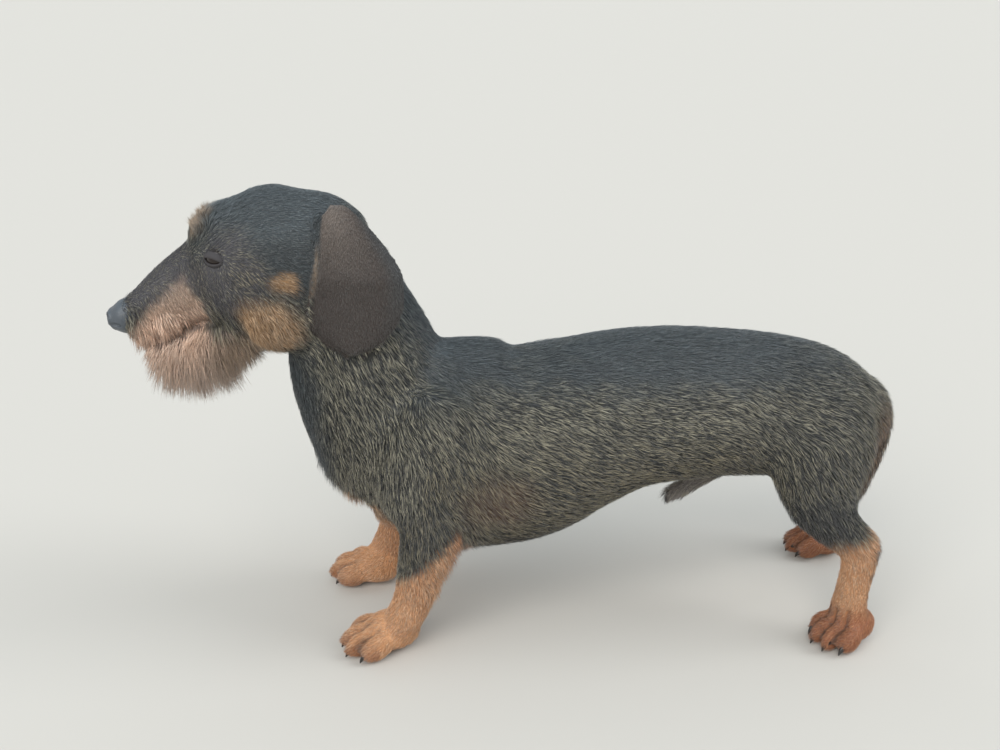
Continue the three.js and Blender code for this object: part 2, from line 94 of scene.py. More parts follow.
MUZZLE = [
    [-206, 0, 287, 27, 24, 35],
    [-224, 0, 279, 23, 24, 30],
    [-242, 0, 270, 20, 24, 25],
    [-258, 0, 261, 18, 22, 20],
    [-271, 0, 254, 15, 17, 17],
]
JAW = [
    [-178, 0, 252, 28, 22, 20],
    [-204, 0, 245, 22, 16, 16],
    [-230, 0, 238, 17, 13, 13],
    [-252, 0, 232, 13, 11, 11],
]
NOSE = [
    [-268, 0, 260, 12, 13, 12],
    [-277, 0, 257, 13, 14, 11.5],
    [-284, 0, 255.5, 10, 10, 8],
]
TAIL = [
    [272, 0, 190, 15, 15, 15],
    [293, 0, 183, 14, 13, 13],
    [306, 0, 160, 12, 11, 11],
    [304, 0, 128, 10, 10, 10],
    [294, 0, 98, 8, 8, 8],
    [281, 0, 70, 5.5, 5.5, 5.5],
    [271, 0, 50, 2.5, 2.5, 2.5],
]
SHEATH = [
    [190, 0, 122, 9, 6, 6],
    [170, 0, 114, 10, 8, 8],
    [150, 0, 104, 10, 10, 9],
    [135, 0, 97, 8, 8, 8],
]
EAR = [  # z, x of the front edge, x of the rear edge
    [347, -120, -109],
    [338, -127, -99],
    [322, -130, -86],
    [300, -131, -71],
    [282, -133, -69],
    [266, -136, -72],
    [254, -133, -79],
    [245, -125, -88],
    [239, -114, -100],
]
# Out from the middle of the paw, ahead of it, turn and half length of each toe
TOES = [(-16, 12, -13, 15), (-6, 20, -4, 17), (6, 20, 4, 17), (16, 12, 13, 15)]
PAWS = [  # name, x, y, side, how far it turns out in degrees, size
    ("forepaw_left", -90, -FORE_STANCE + 3, -1, 16, 1.04),
    ("forepaw_right", -106, FORE_STANCE - 8, 1, 14, 1.04),
    ("hindpaw_left", 269, -HIND_STANCE, -1, 24, 0.92),
    ("hindpaw_right", 296, HIND_STANCE - 2, 1, 10, 0.92),
]


def foreleg_rows(s):
    """The rows of one foreleg: the upper arm, then the forearm down to the paw."""
    lead = LEAD[s]
    shoulder = [
        [-42, s * 50, 200, 18, 26, 26],
        [-58, s * 54, 170, 22, 34, 36],
        [-66, s * 56, 140, 22, 30, 32],
        [-58, s * 57, 112, 20, 26, 25],
    ]
    forearm = [
        [-57, s * 59, 112, 19, 27, 24],
        [-60 - lead * 0.4, s * 60, 88, 18, 23, 22],
        [-65 - lead * 0.8, s * 59, 66, 16, 19, 20],
        [-69 - lead, s * FORE_STANCE, 47, 16, 17, 18],
        [-78 - lead, s * FORE_STANCE, 30, 17, 17, 15],
        [-86 - lead, s * FORE_STANCE, 18, 16, 15, 12],
    ]
    return shoulder, forearm


def hindleg_rows(s):
    """The rows of one hind leg: thigh, shank and pastern."""
    lag = LAG[s]
    thigh = [
        [244, s * 40, 194, 20, 34, 34],
        [240, s * 48, 168, 27, 42, 42],
        [238 + lag * 0.2, s * 55, 140, 26, 40, 38],
        [243 + lag * 0.4, s * 60, 114, 21, 28, 30],
    ]
    shank = [
        [240 + lag * 0.4, s * 60, 118, 21, 26, 30],
        [254 + lag * 0.7, s * 64, 99, 17, 20, 22],
        [271 + lag, s * 67, 84, 14, 17, 18],
    ]
    pastern = [
        [274 + lag, s * 67, 86, 14, 16, 16],
        [273 + lag, s * 68, 68, 14, 16, 15],
        [270 + lag, s * 69, 48, 14, 15, 14],
        [268 + lag, s * HIND_STANCE, 28, 15, 15, 15],
        [266 + lag, s * HIND_STANCE, 18, 15, 14, 13],
    ]
    return thigh, shank, pastern


# Where the dog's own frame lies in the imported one
eye_low, eye_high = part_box("eye_left")
SHIFT = (np.array(eye_low) + np.array(eye_high)) / 2 / MM - EYE * [1, -1, 1]


def to_world(points):
    return (np.asarray(points, float) + SHIFT) * MM


# Small mesh tools. A form is its points and its faces
def row_at(rows, t):
    """The row at share t of the way along, on a smooth curve through all the rows."""
    rows = np.asarray(rows, float)
    at = min(max(t, 0.0), 1.0) * (len(rows) - 1)
    i = min(int(at), len(rows) - 2)
    f = at - i
    a, b, d, e = (rows[min(max(k, 0), len(rows) - 1)] for k in (i - 1, i, i + 1, i + 2))
    turn = 2 * a - 5 * b + 4 * d - e + (3 * b - a - 3 * d + e) * f
    return b + 0.5 * f * (d - a + f * turn)


def unit(v):
    v = np.asarray(v, float)
    return v / np.maximum(np.linalg.norm(v, axis=-1, keepdims=True), 1e-9)


def frame_at(rows, t):
    """The row at share t, and the ways along, across and up there."""
    before, after = row_at(rows, t - 0.004), row_at(rows, t + 0.004)
    along = unit(after[:3] - before[:3])
    across = unit(np.array([0, 1.0, 0]) - along * along[1])
    return row_at(rows, t), along, across, np.cross(along, across)


def tube(rows, steps=40, sides=48, ends=(8, 8), domes=6):
    """A closed form along the rows, with a rounded end of the given height at each end."""
    angles = np.arange(sides) / sides * 2 * math.pi
    c, s = np.cos(angles)[:, None], np.sin(angles)[:, None]

    def ring(t, shrink, push):
        row, along, across, rise = frame_at(rows, t)
        height = np.where(s > 0, row[4], row[5]) * shrink
        return row[:3] + along * push + across * c * (row[3] * shrink) + rise * s * height

    rings = []
    turns = [(k + 1) / (domes + 0.35) * math.pi / 2 for k in range(domes)]
    for turn in reversed(turns):
        rings.append(ring(0, math.cos(turn), -ends[0] * math.sin(turn)))
    for i in range(steps + 1):
        rings.append(ring(i / steps, 1.0, 0.0))
    for turn in turns:
        rings.append(ring(1, math.cos(turn), ends[1] * math.sin(turn)))
    return closed_rings(rings)


def closed_rings(rings):
    """Rings of points, skinned with quads and closed by a fan of triangles at each end."""
    points = np.concatenate(rings + [rings[0].mean(0)[None], rings[-1].mean(0)[None]])
    n, m = len(rings), len(rings[0])
    i, j = np.meshgrid(np.arange(n - 1), np.arange(m), indexing="ij")
    k = (j + 1) % m
    quads = np.stack([i * m + j, i * m + k, (i + 1) * m + k, (i + 1) * m + j], -1).reshape(-1, 4)
    j = np.arange(m)
    k = (j + 1) % m
    first = np.stack([k, j, np.full(m, n * m), np.full(m, n * m)], -1)
    last = np.stack([(n - 1) * m + j, (n - 1) * m + k, np.full(m, n * m + 1), np.full(m, n * m + 1)], -1)
    return points, [*quads.tolist(), *(f[:3] for f in first.tolist()), *(f[:3] for f in last.tolist())]


def spun(first, second, angle):
    """Two coordinates of some points, turned by an angle in their own plane."""
    c, s = math.cos(angle), math.sin(angle)
    return first * c - second * s, first * s + second * c


def ball_ring(polar, fine):
    """One ring of a ball of radius 1, at an angle from its lower pole."""
    angles = np.arange(2 * fine) / (2 * fine) * 2 * math.pi
    height = np.full(2 * fine, -np.cos(polar))
    return np.stack([np.sin(polar) * np.cos(angles), np.sin(polar) * np.sin(angles), height], -1)


def blob(x, y, z, rx, ry, rz, turn=0.0, pitch=0.0, fine=28):
    """An ellipsoid, pitched about its own y and then turned about z."""
    rings = []
    for polar in np.linspace(0, math.pi, fine + 1)[1:-1]:
        a, b, c = (ball_ring(polar, fine) * [rx, ry, rz]).T
        a, c = spun(a, c, -pitch)
        a, b = spun(a, b, turn)
        rings.append(np.stack([a, b, c], -1) + [x, y, z])
    return closed_rings(rings)


def join(forms):
    points, faces, start = [], [], 0
    for p, f in forms:
        points.append(p)
        faces += [[v + start for v in face] for face in f]
        start += len(p)
    return np.concatenate(points), faces


def new_object(name, points, faces, smooth=True):
    mesh = bpy.data.meshes.new(name)
    mesh.from_pydata(np.asarray(points).tolist(), [], faces)
    mesh.update()
    if smooth:
        mesh.polygons.foreach_set("use_smooth", np.ones(len(mesh.polygons), bool))
    made = bpy.data.objects.new(name, mesh)
    bpy.context.scene.collection.objects.link(made)
    return made


def applied(made):
    """The object's mesh with its modifiers built in, and the modifiers gone."""
    depsgraph = bpy.context.evaluated_depsgraph_get()
    mesh = bpy.data.meshes.new_from_object(made.evaluated_get(depsgraph))
    made.modifiers.clear()
    old = made.data
    made.data = mesh
    bpy.data.meshes.remove(old)
    return made


def remeshed(name, forms, voxel):
    """The forms joined into one closed surface, made of voxels of the given size."""
    made = new_object(name, *join([(p * MM, f) for p, f in forms]))
    remesh = made.modifiers.new("voxels", "REMESH")
    remesh.mode = "VOXEL"
    remesh.voxel_size = voxel * MM
    remesh.use_smooth_shade = True
    return applied(made)


def points_of(mesh):
    co = np.empty(len(mesh.vertices) * 3)
    mesh.vertices.foreach_get("co", co)
    return co.reshape(-1, 3)


def normals_of(mesh):
    n = np.empty(len(mesh.vertices) * 3)
    mesh.vertices.foreach_get("normal", n)
    return n.reshape(-1, 3)


def set_points(mesh, points):
    mesh.vertices.foreach_set("co", np.asarray(points, float).ravel())
    mesh.update()


def edges_of(mesh):
    e = np.empty(len(mesh.edges) * 2, int)
    mesh.edges.foreach_get("vertices", e)
    return e.reshape(-1, 2)


def relax(points, edges, weight, times):
    """Moves each point towards the middle of its neighbours, by its own weight, several times."""
    n = len(points)
    a, b = edges[:, 0], edges[:, 1]
    count = np.bincount(a, minlength=n) + np.bincount(b, minlength=n)
    for _ in range(times):
        mean = np.empty_like(points)
        for k in range(3):
            total = np.bincount(a, points[b, k], n) + np.bincount(b, points[a, k], n)
            mean[:, k] = total / np.maximum(count, 1)
        points = points + (mean - points) * (0.5 * weight)[:, None]
    return points


def smoothstep(low, high, v):
    t = np.clip((v - low) / (high - low), 0, 1)
    return t * t * (3 - 2 * t)


def waves(points, scale, seed, octaves=3):
    """Smooth noise from -1 to 1: a few sines in random directions."""
    random = np.random.default_rng(seed)
    total = np.zeros(len(points))
    for k in range(octaves * 5):
        direction = unit(random.normal(size=3)) * (1.7 ** (k // 5)) / scale * 2 * math.pi
        total += np.sin(points @ direction + random.uniform(0, 2 * math.pi)) / (1.5 ** (k // 5))
    return total / (2.2 * math.sqrt(octaves))


# The forms of the body
EAR_REACH = 4.2  # how far from the middle of an ear's leaf a place still counts as on it


def torso_rows():
    rows = []
    for x, top, bottom, half in TORSO:
        middle = bottom + (top - bottom) * BELLY_SHARE
        rows.append([x, 0, middle, half, top - middle, middle - bottom])
    return rows


def ear_leaf(s, columns=36, rows=60):
    """One ear: a thin leaf that thins towards its edges."""
    forward, lower = FAR_EAR_SET if s > 0 else (0, 0)
    rings = []
    for i in range(rows + 1):
        v = i / rows
        z, front, rear = row_at(EAR, v)
        u = np.linspace(-1, 1, columns)
        x = front + (rear - front) * (u + 1) / 2 - forward
        half = EAR_THICKNESS / 2 * (1 - 0.75 * u**6)
        y = ear_hang(u, v)
        outer = np.stack([x, s * (y + half), np.full(columns, z - lower)], -1)
        inner = np.stack([x, s * (y - half), np.full(columns, z - lower)], -1)[::-1]
        ring = np.concatenate([outer, inner])
        rings.append(ring[::-1] if s < 0 else ring)
    return closed_rings(rings)


def ear_hang(u, v):
    """How far out an ear's leaf hangs, across it (u from -1 at the front) and down it (v from 0)."""
    hang = 33 + (56 - 33) * np.minimum(1, v * 2.4) - 6 * v
    return hang - 5 * np.maximum(0, -u) ** 2 - 3 * u * u + 1.6 * np.sin(u * 2.3 + 2.6 * v) * v


def ear_place(points):
    """For points near the ears: across the leaf, down the leaf, and how far from it."""
    p = np.asarray(points, float)
    far = p[:, 1] > 0
    x = p[:, 0] + np.where(far, FAR_EAR_SET[0], 0)
    z = p[:, 2] + np.where(far, FAR_EAR_SET[1], 0)
    steps = np.linspace(0, 1, 121)
    rows = np.array([row_at(EAR, t) for t in steps])[::-1]
    v = np.interp(z, rows[:, 0], steps[::-1])
    front = np.interp(z, rows[:, 0], rows[:, 1])
    rear = np.interp(z, rows[:, 0], rows[:, 2])
    u = 2 * (x - front) / (rear - front) - 1
    outside = np.maximum(np.abs(u) - 1, 0) * (rear - front) / 2
    outside += np.maximum(rows[0, 0] - z, 0) + np.maximum(z - rows[-1, 0], 0)
    away = np.abs(np.abs(p[:, 1]) - ear_hang(np.clip(u, -1, 1), v))
    return u, v, np.hypot(away, outside)


def on_ear(points):
    """1 on the ear leaves, 0 elsewhere."""
    return (ear_place(points)[2] < EAR_REACH).astype(float)


def paw_frame(paw):
    """A paw's middle on the floor, the ways ahead and outward, and its size."""
    _, x, y, s, heading, size = paw
    a = math.radians(heading)
    forward = np.array([-math.cos(a), s * math.sin(a), 0])
    outward = np.array([forward[1], -forward[0], 0]) * s
    return np.array([x, y, 0.0]), forward, outward, size


def paw_place(paw, ahead, out, z):
    centre, forward, outward, _ = paw_frame(paw)
    return centre + forward * ahead + outward * out + np.array([0, 0, z])


def paw_forms(paw):
    """The palm and the four toes of a paw."""
    _, _, _, s, heading, k = paw
    palm = paw_place(paw, -2 * k, 0, 15)
    forms = [blob(*palm, 23 * k, 19 * k, 16, turn=math.radians(-s * heading))]
    for out, ahead, turn, length in TOES:
        yaw = math.radians(-s * (heading + turn))
        middle = paw_place(paw, ahead * k, out * k, 11.5)
        forms.append(blob(*middle, length * k, 7.8 * k, 11, turn=yaw, pitch=-0.3, fine=18))
    return forms


def body_forms():
    """Every form that the skin is drawn over."""
    forms = [tube(torso_rows(), 80, 96, (9, 12)), tube(NECK, 40, 72, (6, 14))]
    forms.append(tube(SKULL, 40, 72, (16, 12)))
    forms += [tube(MUZZLE, 30, 56, (6, 8)), tube(JAW, 30, 48, (6, 7))]
    forms += [tube(TAIL, 60, 32, (6, 4)), tube(SHEATH, 30, 32, (4, 6))]
    for _, s in SIDES:
        for rows in (*foreleg_rows(s), *hindleg_rows(s)):
            forms.append(tube(rows, 40, 48, (10, 10)))
        cheek = blob(-158, s * 30, 262, 30, 20, 28, pitch=0.3)
        brow = blob(-201, s * 17, 322, 11.5, 12, 13)
        forms += [cheek, brow, ear_leaf(s)]
    for paw in PAWS:
        forms += paw_forms(paw)
    return forms


# Places on the body are told in a folded frame: the distance from the middle in place of y,
# and the lower legs of both sides brought to the same x
def folded(points):
    p = np.array(points, float)
    right = p[:, 1] > 0
    low = 1 - smoothstep(40, 115, p[:, 2])
    fore = (p[:, 0] < 60) & right
    hind = (p[:, 0] > 180) & right
    ahead = np.where(fore, (LEAD[1] - LEAD[-1]) * low, 0)
    behind = np.where(hind, (LAG[1] - LAG[-1]) * low, 0)
    p[:, 0] += ahead - behind
    p[:, 1] = np.abs(p[:, 1])
    return p


def zone(p, centre, radii, soft=0.25):
    """1 inside an ellipsoid in the folded frame, falling to 0 over its soft edge."""
    d = np.linalg.norm((p - np.array(centre)) / np.array(radii), axis=1)
    return 1 - smoothstep(1 - soft, 1 + soft, d)


# How the coat lies: place (x, distance from the middle, z), the way the hair points (x, outward, z),
# its length in millimetres, how far it stands off the skin (0 to 1), its width, and how dense it is
LIE = [
    # bridge of the muzzle and top of the skull
    (-262, 4, 276, 0.85, 0.1, 0.40, 3.5, 0.10, 0.40, 2.2),
    (-240, 6, 290, 0.90, 0.1, 0.35, 4.0, 0.12, 0.40, 2.0),
    (-218, 3, 312, 0.75, 0.1, 0.65, 5.0, 0.15, 0.45, 1.8),
    (-196, 0, 336, 0.95, 0.0, 0.30, 6.0, 0.10, 0.50, 1.4),
    (-165, 0, 351, 1.00, 0.0, -0.05, 6, 0.06, 0.42, 1.5),
    (-128, 0, 346, 0.90, 0.0, -0.35, 6.5, 0.06, 0.45, 1.4),
    # brow, round the eye, temple and cheek
    (-150, 46, 310, 0.95, 0.0, -0.25, 6, 0.06, 0.42, 1.5),
    (-212, 16, 326, -0.60, 0.15, 0.70, 9, 0.45, 0.50, 3.2),
    (-204, 16, 336, 0.55, 0.10, 0.45, 6, 0.20, 0.50, 2.0),
    (-206, 27, 316, 0.60, 0.20, 0.40, 5, 0.25, 0.45, 2.2),
    (-207, 31, 300, 0.20, 0.2, -0.90, 3.0, 0.12, 0.40, 2.4),
    (-228, 22, 290, 0.45, 0.2, -0.80, 4.0, 0.14, 0.40, 2.2),
    (-188, 38, 318, 0.95, 0.0, 0.05, 5.0, 0.12, 0.45, 1.6),
    (-182, 45, 292, 0.80, 0.0, -0.55, 6.5, 0.16, 0.50, 1.5),
    (-195, 40, 272, 0.55, 0.1, -0.75, 6.5, 0.20, 0.50, 1.6),
    (-168, 48, 262, 0.55, 0.1, -0.80, 10, 0.28, 0.60, 1.5),
    (-160, 36, 232, 0.65, 0.0, -0.60, 8, 0.16, 0.60, 1.3),
    # moustache and lips
    (-256, 17, 270, 0.45, 0.2, -0.85, 5.5, 0.16, 0.45, 2.2),
    (-236, 22, 276, 0.50, 0.2, -0.80, 6.0, 0.20, 0.45, 2.0),
    (-262, 15, 254, 0.20, 0.3, -0.95, 13, 0.30, 0.55, 2.8),
    (-246, 20, 254, 0.15, 0.3, -0.95, 20, 0.36, 0.60, 3.0),
    (-222, 25, 256, 0.30, 0.25, -0.92, 19, 0.34, 0.60, 2.6),
    (-200, 33, 248, 0.45, 0.15, -0.90, 13, 0.30, 0.60, 2.0),
    # beard and chin
    (-262, 4, 232, -0.22, 0.05, -1.00, 16, 0.5, 0.60, 3.6),
    (-244, 8, 226, 0.02, 0.10, -1.00, 30, 0.6, 0.65, 4.2),
    (-228, 8, 228, 0.08, 0.10, -1.00, 36, 0.6, 0.65, 4.2),
    (-208, 10, 230, 0.14, 0.10, -1.00, 34, 0.6, 0.65, 3.6),
    (-192, 12, 233, 0.20, 0.10, -0.98, 20, 0.5, 0.65, 2.6),
    (-178, 10, 230, 0.80, 0.0, -0.40, 8, 0.16, 0.55, 1.4),
    (-165, 0, 225, 0.80, 0.0, -0.40, 7, 0.14, 0.55, 1.2),
    # neck and breast
    (-84, 0, 292, 0.60, 0.0, -0.80, 9, 0.12, 0.60, 1.0),
    (-110, 45, 250, 0.40, 0.0, -0.92, 10, 0.20, 0.60, 1.2),
    (-92, 58, 190, 0.50, 0.0, -0.85, 10, 0.22, 0.60, 1.1),
    (-150, 0, 190, 0.15, 0.0, -1.00, 8, 0.14, 0.60, 1.1),
    (-122, 0, 128, 0.00, 0.1, -1.00, 13, 0.45, 0.60, 1.8),
    # back
    (-20, 0, 238, 1.00, 0.0, -0.10, 8.5, 0.10, 0.55, 1.0),
    (80, 0, 240, 1.00, 0.0, -0.03, 8.5, 0.10, 0.55, 1.0),
    (180, 0, 238, 1.00, 0.0, -0.10, 8.5, 0.10, 0.55, 1.0),
    (245, 0, 222, 0.88, 0.0, -0.45, 9, 0.12, 0.55, 1.0),
    # shoulder, flank and belly
    (-50, 66, 195, 0.50, 0.0, -0.85, 9.5, 0.18, 0.55, 1.15),
    (-66, 72, 145, 0.15, 0.0, -0.98, 9.5, 0.20, 0.55, 1.2),
    (-28, 72, 120, 0.60, 0.0, -0.75, 9.5, 0.20, 0.55, 1.2),
    (20, 60, 205, 0.85, 0.0, -0.45, 9, 0.16, 0.55, 1.1),
    (35, 72, 150, 0.92, 0.0, -0.36, 9.5, 0.16, 0.55, 1.15),
    (10, 55, 90, 0.93, -0.2, -0.25, 9, 0.16, 0.55, 1.1),
    (-10, 0, 66, 0.95, 0.0, -0.20, 8, 0.16, 0.55, 0.9),
    (140, 60, 180, 0.96, 0.0, -0.22, 9, 0.16, 0.55, 1.1),
    (90, 45, 120, 0.95, 0.0, -0.15, 9, 0.16, 0.55, 1.1),
    (130, 30, 112, 0.95, 0.0, -0.15, 8, 0.16, 0.55, 1.0),
    (185, 45, 130, 0.80, 0.0, -0.50, 9.5, 0.22, 0.55, 1.1),
    # sheath
    (165, 6, 108, -0.75, 0.0, -0.50, 6, 0.22, 0.50, 1.6),
    (142, 6, 96, -0.50, 0.0, -0.80, 7, 0.35, 0.55, 2.4),
    (131, 0, 94, -0.15, 0.0, -1.00, 10, 0.55, 0.55, 4.0),
    # thigh and hind leg
    (222, 62, 190, 0.80, 0.0, -0.55, 9, 0.16, 0.55, 1.1),
    (235, 78, 148, 0.50, 0.0, -0.85, 9.5, 0.18, 0.55, 1.1),
    (292, 45, 160, 0.30, 0.1, -1.00, 12, 0.35, 0.60, 1.3),
    (292, 48, 120, 0.30, 0.1, -1.00, 11, 0.35, 0.60, 1.3),
    (225, 70, 115, 0.60, 0.0, -0.80, 9, 0.25, 0.55, 1.3),
    (262, 72, 98, 0.55, 0.0, -0.82, 8, 0.22, 0.50, 1.4),
    (289, 66, 92, 0.40, 0.0, -0.90, 8, 0.40, 0.50, 2.0),
    (284, 68, 60, 0.15, 0.0, -0.98, 6, 0.25, 0.45, 1.9),
    (276, 70, 55, -0.05, 0.0, -1.00, 5, 0.14, 0.42, 2.0),
    (270, 72, 24, -0.70, 0.0, -0.60, 4, 0.12, 0.40, 2.2),
    (250, 76, 12, -0.90, 0.0, -0.30, 4.5, 0.20, 0.40, 2.6),
    # foreleg
    (-66, 76, 108, 0.10, 0.0, -1.00, 9, 0.20, 0.55, 1.3),
    (-88, 60, 75, -0.05, 0.0, -1.00, 6, 0.15, 0.45, 1.7),
    (-46, 58, 90, 0.45, 0.0, -0.95, 12, 0.42, 0.55, 1.8),
    (-50, 56, 62, 0.40, 0.0, -0.95, 10, 0.40, 0.50, 1.8),
    (-78, 62, 48, -0.20, 0.0, -0.98, 6, 0.16, 0.45, 2.0),
    (-98, 58, 28, -0.75, 0.0, -0.55, 4.5, 0.12, 0.42, 2.3),
    (-112, 60, 12, -0.92, 0.0, -0.25, 4.5, 0.20, 0.40, 2.6),
    # tail
    (300, 0, 182, 0.50, 0.0, -0.90, 10, 0.20, 0.55, 1.1),
    (314, 0, 145, 0.05, 0.0, -1.00, 9, 0.25, 0.55, 1.3),
    (292, 0, 92, -0.40, 0.0, -0.92, 9, 0.30, 0.55, 1.5),
    (273, 0, 52, -0.40, 0.0, -0.90, 8, 0.35, 0.55, 1.7),
]
# Way (3), length, lift, width and density on the ears
EAR_COAT = np.array([0.10, 0.0, -1.0, 3.4, 0.06, 0.45, 2.4])


def coat_at(points):
    """The coat's numbers at places in the dog's frame, blended between the nearest rows of the table."""
    table = np.array(LIE)
    p = folded(points)
    out = np.empty((len(p), 7))
    for start in range(0, len(p), 40000):
        part = p[start : start + 40000]
        d2 = ((part[:, None, :] - table[None, :, :3]) ** 2).sum(-1)
        w = 1 / (d2 + 30) ** 2
        out[start : start + 40000] = (w[:, :, None] * table[None, :, 3:]).sum(1) / w.sum(1)[:, None]
    ear = on_ear(points)[:, None]
    return out * (1 - ear) + EAR_COAT * ear


# The markings. Each colour is linear RGB
BLACK = np.array([0.017, 0.019, 0.020])
PAINTED_SHEEN_BLACK = np.array([0.052, 0.062, 0.069])  # the smooth black of the crown, the nape and the back, bluish and lighter with painted sky sheen
# pale bluish hair tips: the sky's reflection painted on as a tip colour
PAINTED_SKY_SHEEN_TIP = np.array([0.13, 0.155, 0.165])
PALE_TIP = np.array([0.59, 0.55, 0.41])
WARM_TIP = np.array([0.55, 0.48, 0.32])
BROWN = np.array([0.12, 0.070, 0.045])
EAR_BROWN = np.array([0.050, 0.040, 0.036])
EAR_TOP = np.array([0.12, 0.100, 0.088])
TAN = np.array([0.61, 0.31, 0.15])
RED_TAN = np.array([0.30, 0.12, 0.060])
PALE_TAN = np.array([0.78, 0.56, 0.38])
MUZZLE_TAN = np.array([0.86, 0.60, 0.45])
STRAW = np.array([0.34, 0.205, 0.105])
BEARD = np.array([0.50, 0.37, 0.30])
GREY = np.array([0.24, 0.21, 0.20])
FACE_DARK = np.array([0.072, 0.070, 0.078])
MUZZLE_FRONT = ((238, -190), (252, -211), (274, -221), (300, -233))  # z, x of the tan's rear edge


def below(edge, soft):
    """1 where the given height over an edge is well under 0, 0 well over it."""
    return 1 - smoothstep(-soft, soft, edge)


class Markings:
    """Colours at places on the dog, which wander a little so that no edge of a patch is even."""

    def __init__(self, points):
        p = folded(points)
        wander = 4.0 * waves(points, 26, 5)[:, None] * np.array([1, 0.4, 1])
        self.points = points
        self.places = p + wander * np.where(p[:, 0] < -140, 0.5, 1.0)[:, None]
        self.base = np.tile(BLACK, (len(p), 1))
        self.tip = np.tile(PALE_TIP, (len(p), 1))
        self.share = np.full(len(p), 0.62) + 0.10 * waves(points, 40, 6)

    def paint(self, weight, colour, tips=None, pale=None):
        """Paints over what is there, by the weight of each place."""
        w = weight[:, None]
        self.base = self.base * (1 - w) + colour * w
        if tips is not None:
            self.tip = self.tip * (1 - w) + tips * w
        if pale is not None:
            self.share = self.share * (1 - weight) + pale * weight


def mark_body(marks):
    """Painted sky sheen along the back, nape and crown, a dark belly, the throat in the black with painted
    sheen, a brown patch behind the elbow.
    """
    q, paint = marks.places, marks.paint
    x, y, z = q.T
    paint(below(z - 168, 30) * (x > -60), BLACK, WARM_TIP, 0.58)
    # the dark saddle along the top of the back, with painted sky sheen on it
    saddle_and_sheen = smoothstep(190, 236, z + 0.30 * y) * smoothstep(-90, -40, x) * smoothstep(190, 215, z)
    paint(saddle_and_sheen, PAINTED_SHEEN_BLACK, PAINTED_SKY_SHEEN_TIP, 0.5)
    # painted sky sheen on the nape and withers, a little brighter
    paint(zone(q, (-60, 0, 262), (62, 62, 52), 0.35), PAINTED_SHEEN_BLACK * 1.1, PAINTED_SKY_SHEEN_TIP * 1.1, 0.5)
    paint(zone(q, (-88, 40, 225), (26, 40, 34), 0.5), BLACK, PALE_TIP, 0.55)
    # painted sky sheen on the crown, brighter than on the back
    paint(zone(q, (-160, 0, 330), (64, 54, 50), 0.35), PAINTED_SHEEN_BLACK * 1.35, PAINTED_SKY_SHEEN_TIP * 1.25, 0.6)
    # the throat in the black with painted sky sheen, a little darker than the back
    paint(zone(q, (-146, 0, 185), (34, 40, 80), 0.3), PAINTED_SHEEN_BLACK * 0.75, PAINTED_SKY_SHEEN_TIP, 0.35)
    paint(zone(q, (-8, 66, 126), (24, 26, 20), 0.7) * 0.8, BROWN, WARM_TIP * 0.8, 0.5)
    paint(below(z - 88 - 0.12 * (x - 20), 12) * (x > -40) * (x < 200), BLACK * 0.8, WARM_TIP * 0.5, 0.2)
    paint(zone(q, (182, 40, 122), (34, 40, 16), 0.4), BLACK * 1.5, WARM_TIP * 0.8, 0.5)
    paint(zone(q, (150, 0, 102), (28, 22, 18), 0.3), GREY * 0.7, PALE_TIP * 0.7, 0.5)
    # the sheath's tip black, with a little painted sky sheen on its hair tips
    paint(zone(q, (133, 0, 90), (9, 14, 9), 0.3), BLACK, PAINTED_SKY_SHEEN_TIP, 0.2)
    paint(zone(q, (235, 50, 165), (48, 60, 55), 0.5) * 0.6, BLACK * 0.9, PALE_TIP * 0.8, 0.4)


def mark_forelegs(marks):
    """The tan climbs from the front of the wrist to the elbow behind, and up the inside."""
    q, paint = marks.places, marks.paint
    x, y, z = q.T
    fore = below(x + 34, 5)
    rise = z - 62 - 0.95 * (x + 83)
    paint(zone(q, (-60, 70, 98), (26, 24, 30), 0.5), BLACK * 1.3, WARM_TIP * 0.65, 0.5)
    paint(fore * below(rise, 5) * below(z - 104, 8), TAN, PALE_TAN, 0.5)
    paint(fore * below(y - 50, 5) * below(z - 104, 8), TAN, PALE_TAN, 0.4)
    paint(zone(q, (-44, 50, 84), (13, 16, 30), 0.4), RED_TAN, TAN, 0.4)


def mark_hindlegs(marks):
    """Tan from the hock down, redder on the paw, and painted shade along the rear of the hock."""
    q, paint = marks.places, marks.paint
    x, y, z = q.T
    hind = (x > 200) * (y > 30)
    paint(zone(q, (296, 46, 130), (21, 50, 50), 0.5), BROWN, TAN * 0.6, 0.35)
    paint(hind * below(z - 92, 6), TAN * 0.9, PALE_TAN, 0.45)
    # painted shade: dark brown along the shaded rear of the hock
    hock_rear_shade = smoothstep(279, 285, x) * below(z - 104, 6) * smoothstep(24, 40, z)
    paint(hind * hock_rear_shade, BROWN * 0.5, RED_TAN, 0.3)
    paint(hind * below(z - 32, 14), RED_TAN * 1.15, TAN, 0.4)
    paint(zone(q, (234, 66, 106), (32, 30, 24), 0.5), BLACK * 0.8, PALE_TIP * 0.7, 0.12)


def mark_toes(marks):
    x, _, z = marks.places.T
    toes = below(z - 14, 8) * ((x < -98) | ((x > 200) & (x < 266)))
    marks.paint(toes * 0.7, RED_TAN, TAN * 0.7, 0.35)
    # painted shade: dark lines in the clefts between the toes
    marks.paint(0.85 * toe_clefts(marks.points), BROWN * 0.4, BROWN, 0.2)


